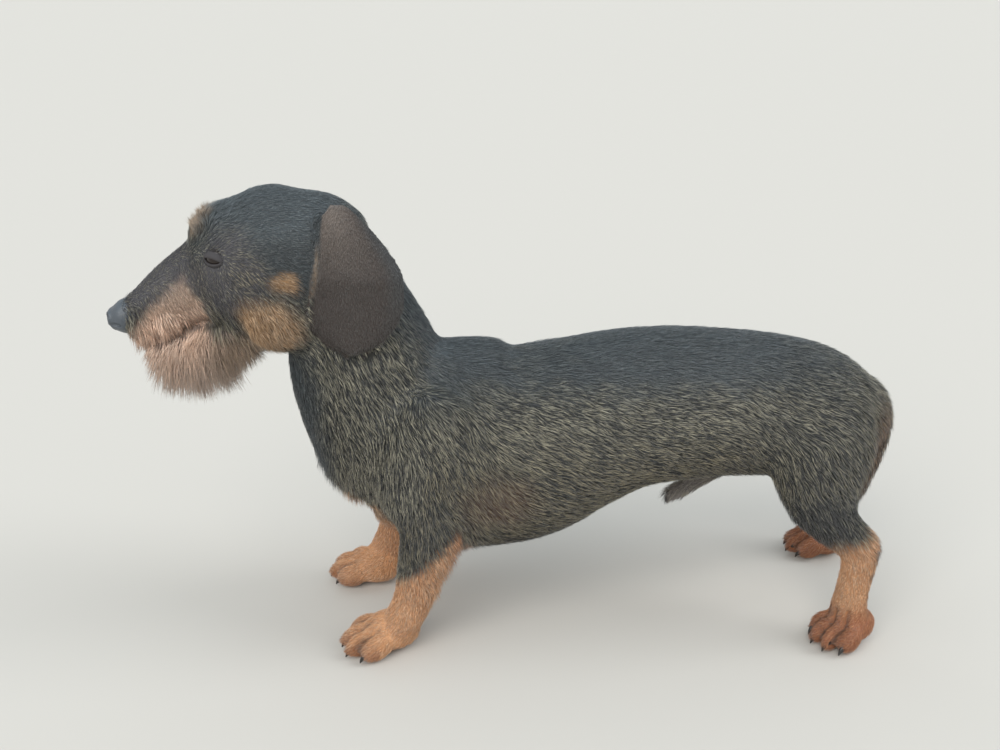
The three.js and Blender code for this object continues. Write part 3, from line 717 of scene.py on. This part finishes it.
def mark_head(marks):
    """The breast's patch, the dark mask, the tan muzzle, beard and cheek, the spot and the brow."""
    q, paint = marks.places, marks.paint
    x, y, z = q.T
    paint(zone(q, (-116, 0, 104), (27, 56, 22), 0.25), TAN, PALE_TAN, 0.5)
    paint(zone(q, (-195, 42, 290), (26, 26, 40), 0.35), FACE_DARK * 1.2, PALE_TIP * 0.7, 0.25)
    # the temple in the black with painted sky sheen
    paint(zone(q, (-150, 46, 300), (34, 30, 20), 0.5), PAINTED_SHEEN_BLACK * 0.7, PAINTED_SKY_SHEEN_TIP, 0.4)
    paint(zone(q, (-180, 44, 294), (15, 26, 16), 0.5), FACE_DARK, WARM_TIP, 0.4)
    paint(zone(q, (-222, 26, 292), (12, 20, 10), 0.5), FACE_DARK, WARM_TIP, 0.4)
    front = np.interp(z, *np.array(MUZZLE_FRONT).T)
    muzzle = below(z - 253 - 0.87 * (x + 271), 6) * below(x - front, 5) * below(y - 60, 5)
    paint(zone(q, (-240, 0, 284), (46, 30, 30), 0.3), FACE_DARK * 1.2, PALE_TIP * 0.6, 0.3)
    paint(muzzle * (x < -180) * (1 - 0.6 * smoothstep(266, 292, z)), MUZZLE_TAN, BEARD * 1.5, 0.4)
    paint(zone(q, (-234, 24, 272), (18, 16, 14), 0.7) * 0.35, GREY, PALE_TAN, 0.5)
    paint(zone(q, (-232, 0, 218), (44, 34, 26), 0.3), BEARD, MUZZLE_TAN, 0.5)
    paint(zone(q, (-206, 30, 228), (17, 30, 22), 0.5), (GREY + BEARD) * 0.6, BEARD, 0.5)
    paint(zone(q, (-203, 14, 208), (20, 30, 18), 0.5) * 0.7, GREY * 1.3, BEARD, 0.5)
    paint(zone(q, (-196, 30, 239), (23, 26, 13), 0.5), (STRAW + GREY) * 0.6, PALE_TAN * 0.7, 0.5)
    paint(zone(q, (-172, 46, 259), (27, 22, 19), 0.35), STRAW, PALE_TAN * 0.85, 0.55)
    paint(zone(q, (-155, 46, 290), (10, 20, 7), 0.5), STRAW * 0.95, PALE_TAN * 0.8, 0.45)
    paint(zone(q, (-218, 15, 331), (9, 14, 11), 0.5), PALE_TAN * 0.36, PALE_TAN * 0.62, 0.6)


def mark_ears(marks):
    """Brown leaves with a paler top, a dark front edge with painted sheen and a painted highlight along its
    rim, painted sheen to the rear, and a top edge fading into the crown's black with painted sheen.
    """
    q, paint = marks.places, marks.paint
    u, v, away = ear_place(marks.points)
    leaf = (away < EAR_REACH).astype(float)
    paint(leaf, EAR_BROWN, EAR_BROWN * 1.8, 0.4)
    paint(leaf * below(v - 0.26, 0.24) * below(u - 0.3, 0.9), EAR_TOP * 1.7, EAR_TOP * 2.2, 0.4)
    front = below(u + 0.74 + 0.55 * v, 0.06) * below(v - 0.42, 0.08)
    # the dark front edge in the crown's black with painted sky sheen
    paint(leaf * front, PAINTED_SHEEN_BLACK * 0.75, PAINTED_SKY_SHEEN_TIP, 0.2)
    # painted highlight: a thin pale line along the ear's front rim
    rim_highlight = np.exp(-(((u + 0.86 + 0.4 * v) / 0.05) ** 2))
    rim_highlight *= smoothstep(0.25, 0.35, v) * below(v - 0.5, 0.06)
    paint(leaf * rim_highlight * 0.5, PALE_TAN * 0.5)
    # painted sky sheen on the rear of the leaf
    rear = smoothstep(0.45, 0.9, u) * zone(q, (-100, 40, 300), (40, 60, 40), 0.5) * 0.6
    paint(leaf * rear, PAINTED_SHEEN_BLACK, PAINTED_SKY_SHEEN_TIP, 0.3)
    # the top edge fades into the crown's black with painted sky sheen
    paint(leaf * below(v - 0.06, 0.06) * 0.7, PAINTED_SHEEN_BLACK, EAR_TOP, 0.4)


def markings(points):
    """Under colour, tip colour and share of pale tips at each place, for the skin and the coat alike."""
    marks = Markings(points)
    for mark in (mark_body, mark_forelegs, mark_hindlegs, mark_toes, mark_head, mark_ears):
        mark(marks)
    return marks.base, marks.tip, np.clip(marks.share, 0, 1)


def toe_clefts(points):
    """1 along the lines between the toes, 0 elsewhere."""
    total = np.zeros(len(points))
    for paw in PAWS:
        centre, forward, outward, size = paw_frame(paw)
        away = (points - centre) / size
        ahead, out = away @ forward, away @ outward
        near = smoothstep(6, 15, ahead) * (np.abs(out) < 24) * (ahead < 45) * (points[:, 2] < 34)
        for line in (-11, 0, 11):
            total += near * np.exp(-(((out - line * (0.8 + 0.012 * ahead)) / 1.5) ** 2))
    return np.clip(total, 0, 1)


# The skin
VOXEL = 1.6
RELAXING = 70  # how often the skin is evened, where its weight allows
CLEFT_DEPTH = 2.6
FLOOR_GAP = 0.2  # how far the skin stays above the floor, so that the pads rest flat


def coat_depth(points):
    """How far the skin lies inside the outline of the solids; the thin end of the tail keeps its core."""
    numbers = coat_at(points)
    depth = 0.6 + 0.2 * np.minimum(numbers[:, 3], 12) + 2.0 * numbers[:, 4]
    tail = (points[:, 0] > 255) * (np.abs(points[:, 1]) < 14)
    depth *= 1 - 0.7 * tail * (1 - smoothstep(90, 120, points[:, 2]))
    return np.where(on_ear(points) > 0, 0.5, np.clip(depth, 0.8, 3.4))


def make_skin():
    """One surface over all the flesh, evened between the forms, but least on the face, feet and ears."""
    skin = remeshed("skin", body_forms(), VOXEL)
    mesh = skin.data
    edges = edges_of(mesh)
    points = points_of(mesh) / MM
    p = folded(points)
    face = zone(p, (-225, 0, 275), (75, 50, 90), 0.3)
    feet = (1 - smoothstep(26, 44, p[:, 2])) * (p[:, 1] > 25)
    ear = on_ear(points) * smoothstep(0.08, 0.25, ear_place(points)[1])
    weight = np.clip(1 - 0.85 * face - 0.9 * feet - 0.92 * ear, 0.05, 1)
    points = relax(points, edges, weight, RELAXING)
    set_points(mesh, points * MM)
    depth = coat_depth(points) + CLEFT_DEPTH * toe_clefts(points)
    points = points - normals_of(mesh) * depth[:, None]
    points[:, 2] = np.maximum(points[:, 2], FLOOR_GAP)
    set_points(mesh, points * MM)
    return skin, points, normals_of(mesh)


# The coat: slim closed tufts, three-sided and pointed at both ends, in pieces under 200,000 triangles
COAT_PIECES = ("face", "cheeks", "head", "neck", "shoulder", "chest", "flank", "loin", "thigh", "rump")
COAT_TUFTS = 236000
COAT_SEED = 20
TUFT_FACES = np.array([(0, 2, 1), (0, 3, 2), (0, 1, 3), (4, 1, 2), (4, 2, 3), (4, 3, 1)])
TUFT_ROOT = 0.5  # how deep a tuft's root sits in the skin
TUFT_WAIST = 0.42  # where along its length a tuft is widest
TUFT_FLOOR_GAP = 0.15
BAKE_PATCH = 0.003  # how wide a tuft's patch is on the skin's unwrap


def tuft_points(root, normal, numbers, random):
    """Root, three waist points and tip of each tuft. numbers holds way (3), length, lift and width."""
    n = len(root)
    way = unit(numbers[:, :3])
    up = (way * normal).sum(1)
    flat = unit(way - normal * up[:, None])
    lift = numbers[:, 4] * random.uniform(0.5, 1.5, n)
    free = smoothstep(0.28, 0.5, numbers[:, 4])
    stand = lift + np.maximum(up, 0) * free / np.maximum(np.sqrt(1 - np.minimum(up * up, 0.96)), 0.2)
    side = np.cross(normal, flat)
    length = numbers[:, 3] * random.uniform(0.72, 1.2, n)
    width = numbers[:, 5] * random.uniform(0.7, 1.25, n)
    bend = random.normal(0, 0.10, n) + 0.10 * free * random.normal(0, 1, n)
    reach = unit(flat + normal * stand[:, None])
    early = unit(flat + normal * (1.35 * stand)[:, None])
    points = np.empty((n, 5, 3))
    points[:, 0] = root - flat * (0.10 * length)[:, None] - normal * TUFT_ROOT
    middle = root + early * (TUFT_WAIST * length)[:, None] + side * (bend * length * 0.25)[:, None]
    half = (width * 0.5)[:, None]
    points[:, 1] = middle - side * half
    points[:, 2] = middle + side * half
    points[:, 3] = middle + normal * half * 0.6
    points[:, 4] = root + reach * length[:, None] + side * (bend * length)[:, None]
    points[:, :, 2] = np.maximum(points[:, :, 2], TUFT_FLOOR_GAP)
    return points


def tuft_colours(colours, random):
    """Dark at the root and paler from the waist on, for the share of tufts that are pale."""
    base, tip, share = colours
    n = len(base)
    pale = ((random.uniform(size=n) < share) * random.uniform(0.25, 1.0, n))[:, None]
    tone = random.uniform(0.75, 1.25, n)[:, None]
    middle = (base * (1 - 0.55 * pale) + tip * 0.55 * pale) * tone
    paint = np.ones((n, 5, 4), np.float32)
    paint[:, 0, :3] = base * 0.6 * tone
    paint[:, 1:4, :3] = middle[:, None, :]
    paint[:, 4, :3] = (base * (1 - pale) + tip * pale) * tone
    return paint


def set_colours(mesh, paint):
    mesh.color_attributes.new("coat", "FLOAT_COLOR", "POINT").data.foreach_set("color", paint.ravel())


def tufts(name, root, normal, numbers, random, colours, uv):
    """One mesh of tufts. colours holds base, tip and share of pale ones; uv is each root's place."""
    n = len(root)
    points = tuft_points(root, normal, numbers, random)
    faces = (TUFT_FACES[None] + 5 * np.arange(n)[:, None, None]).reshape(-1, 3)
    mesh = bpy.data.meshes.new(name)
    mesh.vertices.add(n * 5)
    mesh.vertices.foreach_set("co", (to_world(points.reshape(-1, 3))).ravel())
    mesh.loops.add(len(faces) * 3)
    mesh.loops.foreach_set("vertex_index", faces.ravel())
    mesh.polygons.add(len(faces))
    mesh.polygons.foreach_set("loop_start", np.arange(0, len(faces) * 3, 3))
    mesh.update(calc_edges=True)
    set_colours(mesh, tuft_colours(colours, random))
    patch = np.array([[0, -1], [-1, 0], [1, 0], [0, 0.2], [0, 1]]) * BAKE_PATCH / 2
    place = uv[:, None, :] + patch[None]
    layer = mesh.uv_layers.new(name="OFBake")
    layer.data.foreach_set("uv", place.reshape(-1, 2)[faces.ravel()].ravel())
    made = bpy.data.objects.new(name, mesh)
    bpy.context.scene.collection.objects.link(made)
    return made


def skin_samples(mesh, points, normals, count, density, random):
    """Places on the skin, spread by area times density: their points, normals and unwrap coordinates."""
    mesh.calc_loop_triangles()
    m = len(mesh.loop_triangles)
    corner = np.empty(m * 3, int)
    mesh.loop_triangles.foreach_get("vertices", corner)
    corner = corner.reshape(-1, 3)
    loops = np.empty(m * 3, int)
    mesh.loop_triangles.foreach_get("loops", loops)
    loops = loops.reshape(-1, 3)
    uv = np.empty(len(mesh.loops) * 2)
    mesh.uv_layers["OFBake"].data.foreach_get("uv", uv)
    uv = uv.reshape(-1, 2)
    a, b, c = (points[corner[:, k]] for k in range(3))
    area = np.linalg.norm(np.cross(b - a, c - a), axis=1) / 2
    weight = area * density[corner].mean(1)
    total = np.cumsum(weight)
    pick = np.searchsorted(total, (np.arange(count) + random.uniform(0, 1, count)) / count * total[-1])
    pick = np.minimum(pick, m - 1)
    r, s = np.sqrt(random.uniform(size=count)), random.uniform(size=count)
    bary = np.stack([1 - r, r * (1 - s), r * s], -1)[:, :, None]
    where = (points[corner[pick]] * bary).sum(1)
    facing = unit((normals[corner[pick]] * bary).sum(1))
    return where, facing, (uv[loops[pick]] * bary).sum(1)


def make_coat(skin, points, normals):
    """The coat in pieces of equal size, from the nose to the rump."""
    random = np.random.default_rng(COAT_SEED)
    numbers = coat_at(points)
    density = numbers[:, 6] * np.where(points[:, 2] < 2, 0.1, 1)
    density *= 1 - 0.97 * eye_opening(points)
    where, facing, uv = skin_samples(skin.data, points, normals, COAT_TUFTS, density, random)
    numbers = coat_at(where)
    way = numbers[:, :3].copy()
    way[:, 1] *= np.where(where[:, 1] < 0, -1.0, 1.0)
    drift = np.stack([waves(where, 16, k) for k in (11, 12, 13)], -1)
    numbers[:, :3] = unit(way) + 0.20 * drift
    numbers[:, 4] += np.minimum(0.05, numbers[:, 4] * 0.4) * waves(where, 9, 14)
    colours = markings(where)
    order = np.argsort(where[:, 0], kind="stable")
    made = []
    for name, use in zip(COAT_PIECES, np.array_split(order, len(COAT_PIECES))):
        args = (where[use], facing[use], numbers[use], random, [c[use] for c in colours], uv[use])
        made.append(tufts("coat_" + name, *args))
    return made


# Eyes and lids
LID_DROP = 1.2  # how far below the middle of the ball the half-closed lids meet
EYE_OUT = unit(np.array([-0.50, 0.86, 0.06]))  # the way the right eye looks
BALL_RADIUS = EYE_RADIUS - 0.9
LID_HALF_LENGTH = 6.1
LID_RISE = 2.3  # of the upper rim over the middle of the opening
LID_FALL = 2.2  # of the lower rim under it
LID_ROWS = [  # distance out from the rim, height above the eye's own radius
    (-0.3, -0.9),
    (-0.2, 0.1),
    (0.2, 0.6),
    (0.9, 0.8),
    (1.7, 0.5),
    (2.6, 0.2),
    (3.6, -1.2),
    (3.6, -3.6),
]
EYE_SINK = 9.0  # how far the skin sinks behind the open part of an eye


def eye_axes(s):
    """The ways out of the eye, back towards the ear, and up."""
    out = EYE_OUT * [1, s, 1]
    across = unit([s * out[1], -s * out[0], 0])
    return out, across, s * unit(np.cross(across, out))


def eye_opening(points):
    """1 where the skin gives way to an eye, 0 elsewhere."""
    total = np.zeros(len(points))
    for _, s in SIDES:
        out, across, up = eye_axes(s)
        d = points - EYE * [1, s, 1]
        a, b, o = d @ across, d @ up, d @ out
        almond = (a / 7.4) ** 2 + ((b + LID_DROP) / 4.4) ** 2
        total += np.where((o > 0) & (o < 20), 1 - smoothstep(0.8, 1.3, almond), 0)
    return np.clip(total, 0, 1)


def eyeball(name, s):
    """A ball with a slight bulge where the clear front stands out."""
    out, across, up = eye_axes(s)
    fine = 40
    rings = []
    for polar in np.linspace(0, math.pi, fine + 1)[1:-1]:
        radius = BALL_RADIUS * (1 + 0.02 * math.exp(-((math.pi - polar) / 0.5) ** 2))
        local = ball_ring(polar, fine)
        rings.append(radius * (local[:, :1] * across + local[:, 1:2] * up * s + local[:, 2:] * out))
    points, faces = closed_rings(rings)
    return new_object(name, to_world(points + EYE * [1, s, 1]), faces)


def lids(name, s):
    """The rims of both lids, with the fold above and below: rings that run round the opening."""
    out, across, up = eye_axes(s)
    turns = np.arange(96) / 96 * 2 * math.pi
    upper = np.sin(turns) > 0
    corner = np.abs(np.cos(turns)) ** 6
    rings = []
    for spread, height in LID_ROWS:
        a = (LID_HALF_LENGTH + spread) * np.cos(turns) + 0.6 * corner * np.sign(np.cos(turns))
        tall = np.where(upper, LID_RISE, LID_FALL) + np.where(upper, 1.25, 0.9) * spread
        b = tall * np.sin(turns) * (1 - 0.25 * corner) - 0.10 * a - LID_DROP
        r = EYE_RADIUS + height
        o = np.sqrt(np.maximum(r * r - np.minimum(a * a + b * b, r * r * 0.93), 0))
        rings.append(a[:, None] * across + b[:, None] * up + o[:, None] * out)
    n, m = len(rings), len(turns)
    points = np.concatenate(rings)
    i, j = np.meshgrid(np.arange(n), np.arange(m), indexing="ij")
    i2, k = (i + 1) % n, (j + 1) % m
    faces = np.stack([i * m + j, i2 * m + j, i2 * m + k, i * m + k], -1).reshape(-1, 4)
    if s < 0:
        faces = faces[:, ::-1]
    return new_object(name, to_world(points + EYE * [1, s, 1]), faces.tolist())


# Nose and claws
NOSE_VOXEL = 0.7
NOSTRIL = ((-289, 5.8, 256.5), (7, 3.0, 3.4))  # place and size of the hole on the right
NOSTRIL_SLIT = ((-283, 11, 252.5), (6, 3.4, 1.5))
NOSTRIL_DEPTH = 5.0
GROOVE_DEPTH = 1.4


def nostril_distance(points, part, s):
    """How far each point is from the middle of a part of one nostril, in shares of its size."""
    (x, y, z), size = part
    return np.linalg.norm((points - [x, s * y, z]) / size, axis=1)


def make_nose():
    """The nose leather: two nostrils, each with a rim and a slit to the side, and a groove between them."""
    nose = remeshed("nose_leather", [tube(NOSE, 30, 48, (6, 5))], NOSE_VOXEL)
    points = points_of(nose.data) / MM
    normals = normals_of(nose.data)
    for _, s in SIDES:
        hole = nostril_distance(points, NOSTRIL, s)
        slit = nostril_distance(points, NOSTRIL_SLIT, s)
        deep = np.maximum(1 - smoothstep(0.5, 1.15, hole), 0.8 * (1 - smoothstep(0.5, 1.2, slit)))
        points = points + np.array([NOSTRIL_DEPTH, -s * 0.6, 0]) * deep[:, None]
        rim_highlight = np.exp(-(((hole - 1.25) / 0.22) ** 2))
        points = points + normals * (0.7 * rim_highlight)[:, None]
    groove = np.exp(-((points[:, 1] / 0.9) ** 2)) * (points[:, 2] < 258) * (points[:, 0] < -276)
    points = points + np.array([GROOVE_DEPTH, 0, 0]) * groove[:, None]
    points = relax(points, edges_of(nose.data), np.ones(len(points)), 2)
    set_points(nose.data, to_world(points))
    return nose


def claw_rows(paw, toe):
    """A claw from inside its toe, forward and down to the point."""
    out, ahead, _, _ = toe
    size = paw[5]

    def at(step, z, r):
        return [*paw_place(paw, (ahead + step) * size, out * size * 1.12, z), r * 0.8, r, r]

    return [at(6, 9.0, 2.5), at(10.5, 8.0, 2.3), at(13.2, 5.6, 1.6), at(14.6, 3.2, 0.6)]


def make_claws():
    """The four claws of each paw as one piece."""
    made = []
    for paw in PAWS:
        forms = [tube(claw_rows(paw, toe), 18, 20, (2, 0.8), domes=4) for toe in TOES]
        points, faces = join(forms)
        claws = new_object("claws_" + paw[0], to_world(points), faces)
        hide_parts(*(f"claw_{paw[0]}_{i}" for i in (1, 2, 3, 4)))
        made.append(claws)
    return made


# Materials
def material(name, colour=None, attribute=None, roughness=0.6, specular=0.5, sheen=0, coat=0, bump=None):
    """A plain finish, or one coloured by an attribute. bump is its grain: scale, strength and depth."""
    made = bpy.data.materials.new(name)
    made.use_nodes = True
    nodes, links = made.node_tree.nodes, made.node_tree.links
    shader = nodes["Principled BSDF"]
    shader.inputs["Roughness"].default_value = roughness
    shader.inputs["Specular IOR Level"].default_value = specular
    shader.inputs["Coat Weight"].default_value = coat
    shader.inputs["Coat Roughness"].default_value = 0.05
    shader.inputs["Sheen Weight"].default_value = sheen
    shader.inputs["Sheen Roughness"].default_value = 0.45
    if colour is not None:
        shader.inputs["Base Color"].default_value = (*colour, 1)
    if attribute:
        read = nodes.new("ShaderNodeVertexColor")
        read.layer_name = attribute
        links.new(read.outputs["Color"], shader.inputs["Base Color"])
    if bump:
        scale, strength, distance = bump
        place = nodes.new("ShaderNodeTexCoord")
        grain = nodes.new("ShaderNodeTexVoronoi")
        grain.inputs["Scale"].default_value = scale
        links.new(place.outputs["Object"], grain.inputs["Vector"])
        lump = nodes.new("ShaderNodeBump")
        lump.inputs["Strength"].default_value = strength
        lump.inputs["Distance"].default_value = distance
        links.new(grain.outputs["Distance"], lump.inputs["Height"])
        links.new(lump.outputs["Normal"], shader.inputs["Normal"])
    return made


def finish_piece(made, look, slot, *nodes):
    """Gives a piece its material, hangs it under the root, and hides the solids that it stands for. slot is
    not used.
    """
    made.data.materials.clear()
    made.data.materials.append(look)
    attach(made, "root")
    if nodes:
        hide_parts(*nodes)


def unwrap(made):
    """Gives the piece an unwrap of its own shape."""
    bpy.context.view_layer.objects.active = made
    made.select_set(True)
    made.data.uv_layers.new(name="OFBake")
    bpy.ops.object.mode_set(mode="EDIT")
    bpy.ops.mesh.select_all(action="SELECT")
    bpy.ops.uv.smart_project(angle_limit=math.radians(70), island_margin=0.001)
    bpy.ops.object.mode_set(mode="OBJECT")


def paint_skin(skin, points):
    """The coat's own colours on the skin, a little darker."""
    base, tip, share = markings(points)
    paint = np.ones((len(points), 4), np.float32)
    paint[:, :3] = base * 0.8 + tip * 0.05 * share[:, None]
    set_colours(skin.data, paint)


def open_eyes(skin, points):
    """Sinks the skin behind the open part of each eye."""
    inward = np.where(points[:, 1:2] < 0, 1.0, -1.0) * np.array([[0, 1.0, 0]])
    set_points(skin.data, to_world(points + inward * eye_opening(points)[:, None] * EYE_SINK))


# Building the dog
skin, skin_points, skin_normals = make_skin()
unwrap(skin)
paint_skin(skin, skin_points)
coat = make_coat(skin, skin_points, skin_normals)
open_eyes(skin, skin_points)

fur = material("coat_fur", attribute="coat", roughness=0.5, specular=0.4, sheen=0.2)
skin_look = material("skin_look", attribute="coat", roughness=0.7, specular=0.25, bump=(900, 0.4, 0.0006))
leather = material("nose_look", colour=(0.068, 0.080, 0.095), roughness=0.42, bump=(1100, 0.35, 0.0005))
lid_bump = (1500, 0.3, 0.0004)
lid_look = material("lid_look", colour=(0.056, 0.052, 0.055), roughness=0.75, specular=0.2, bump=lid_bump)
horn = material("claw_look", colour=(0.022, 0.018, 0.016), roughness=0.35)
eye_look = material("eye_look", colour=(0.012, 0.006, 0.004), roughness=0.14, specular=0.35, coat=0.25)

flesh = [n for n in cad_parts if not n.startswith(("claw_", "eye_")) and n != "nose"]
finish_piece(skin, skin_look, "dark_coat", *flesh)
for piece in coat:
    finish_piece(piece, fur, "dark_coat")
finish_piece(make_nose(), leather, "nose_leather", "nose")
for side_name, side in SIDES:
    finish_piece(eyeball("eyeball_" + side_name, side), eye_look, "eye", "eye_" + side_name)
    finish_piece(lids("lids_" + side_name, side), lid_look, "dark_coat")
for claws in make_claws():
    finish_piece(claws, horn, "claw")


# Floor, light and camera
FLOOR_REACH = 90  # in metres, so that its edge is out of sight
FLOOR_COLOUR = (0.555, 0.525, 0.485)
WALL_LIGHT = (0.76, 0.72, 0.67, 1)
CEILING_LIGHT = (0.80, 0.92, 1.0, 1)
CAMERA_AT = np.array([-55.455, -793.043, 492.349])
CAMERA_AIM = np.array([0.0, 0.0, 203.0])


def soft_sun(name, toward, degrees, strength, colour):
    """Light from a wide round patch of the studio, in the given direction from the dog."""
    data = bpy.data.lights.new(name, "SUN")
    data.angle = math.radians(degrees)
    data.energy = strength
    data.color = colour
    made = bpy.data.objects.new(name, data)
    made.rotation_euler = Vector(toward).to_track_quat("Z", "Y").to_euler()
    bpy.context.scene.collection.objects.link(made)
    return made


def make_floor():
    r = FLOOR_REACH
    corners = [(-r, -r, 0), (r, -r, 0), (r, r, 0), (-r, r, 0)]
    floor = new_object("floor", corners, [[0, 1, 2, 3]], smooth=False)
    floor.data.materials.append(material("floor_look", colour=FLOOR_COLOUR, roughness=0.8, specular=0.1))


def studio_world():
    """Warm pale walls below, a cooler and brighter ceiling above."""
    made = bpy.data.worlds.new("studio")
    bpy.context.scene.world = made
    made.use_nodes = True
    nodes, links = made.node_tree.nodes, made.node_tree.links
    place = nodes.new("ShaderNodeTexCoord")
    parts = nodes.new("ShaderNodeSeparateXYZ")
    blend = nodes.new("ShaderNodeValToRGB")
    blend.color_ramp.elements[0].position = 0.15
    blend.color_ramp.elements[0].color = WALL_LIGHT
    blend.color_ramp.elements[1].position = 0.75
    blend.color_ramp.elements[1].color = CEILING_LIGHT
    links.new(place.outputs["Generated"], parts.inputs["Vector"])
    links.new(parts.outputs["Z"], blend.inputs["Fac"])
    links.new(blend.outputs["Color"], nodes["Background"].inputs["Color"])
    nodes["Background"].inputs["Strength"].default_value = 0.95


def make_camera():
    data = bpy.data.cameras.new("camera")
    data.sensor_width = 36
    data.lens = 39.6
    data.clip_start = 0.05
    camera = bpy.data.objects.new("camera", data)
    camera.location = to_world(CAMERA_AT)
    aim = Vector((CAMERA_AIM - CAMERA_AT).tolist())
    camera.rotation_euler = aim.to_track_quat("-Z", "Y").to_euler()
    bpy.context.scene.collection.objects.link(camera)
    bpy.context.scene.camera = camera
    bpy.context.scene.view_settings.view_transform = "Standard"


make_floor()
soft_sun("sky_light", (1.45, -0.22, 1.25), 34, 1.25, (0.94, 0.98, 1.0))
soft_sun("front_light", (-0.8, -1.6, 1.3), 50, 2.1, (1.0, 0.98, 0.94))
studio_world()
make_camera()
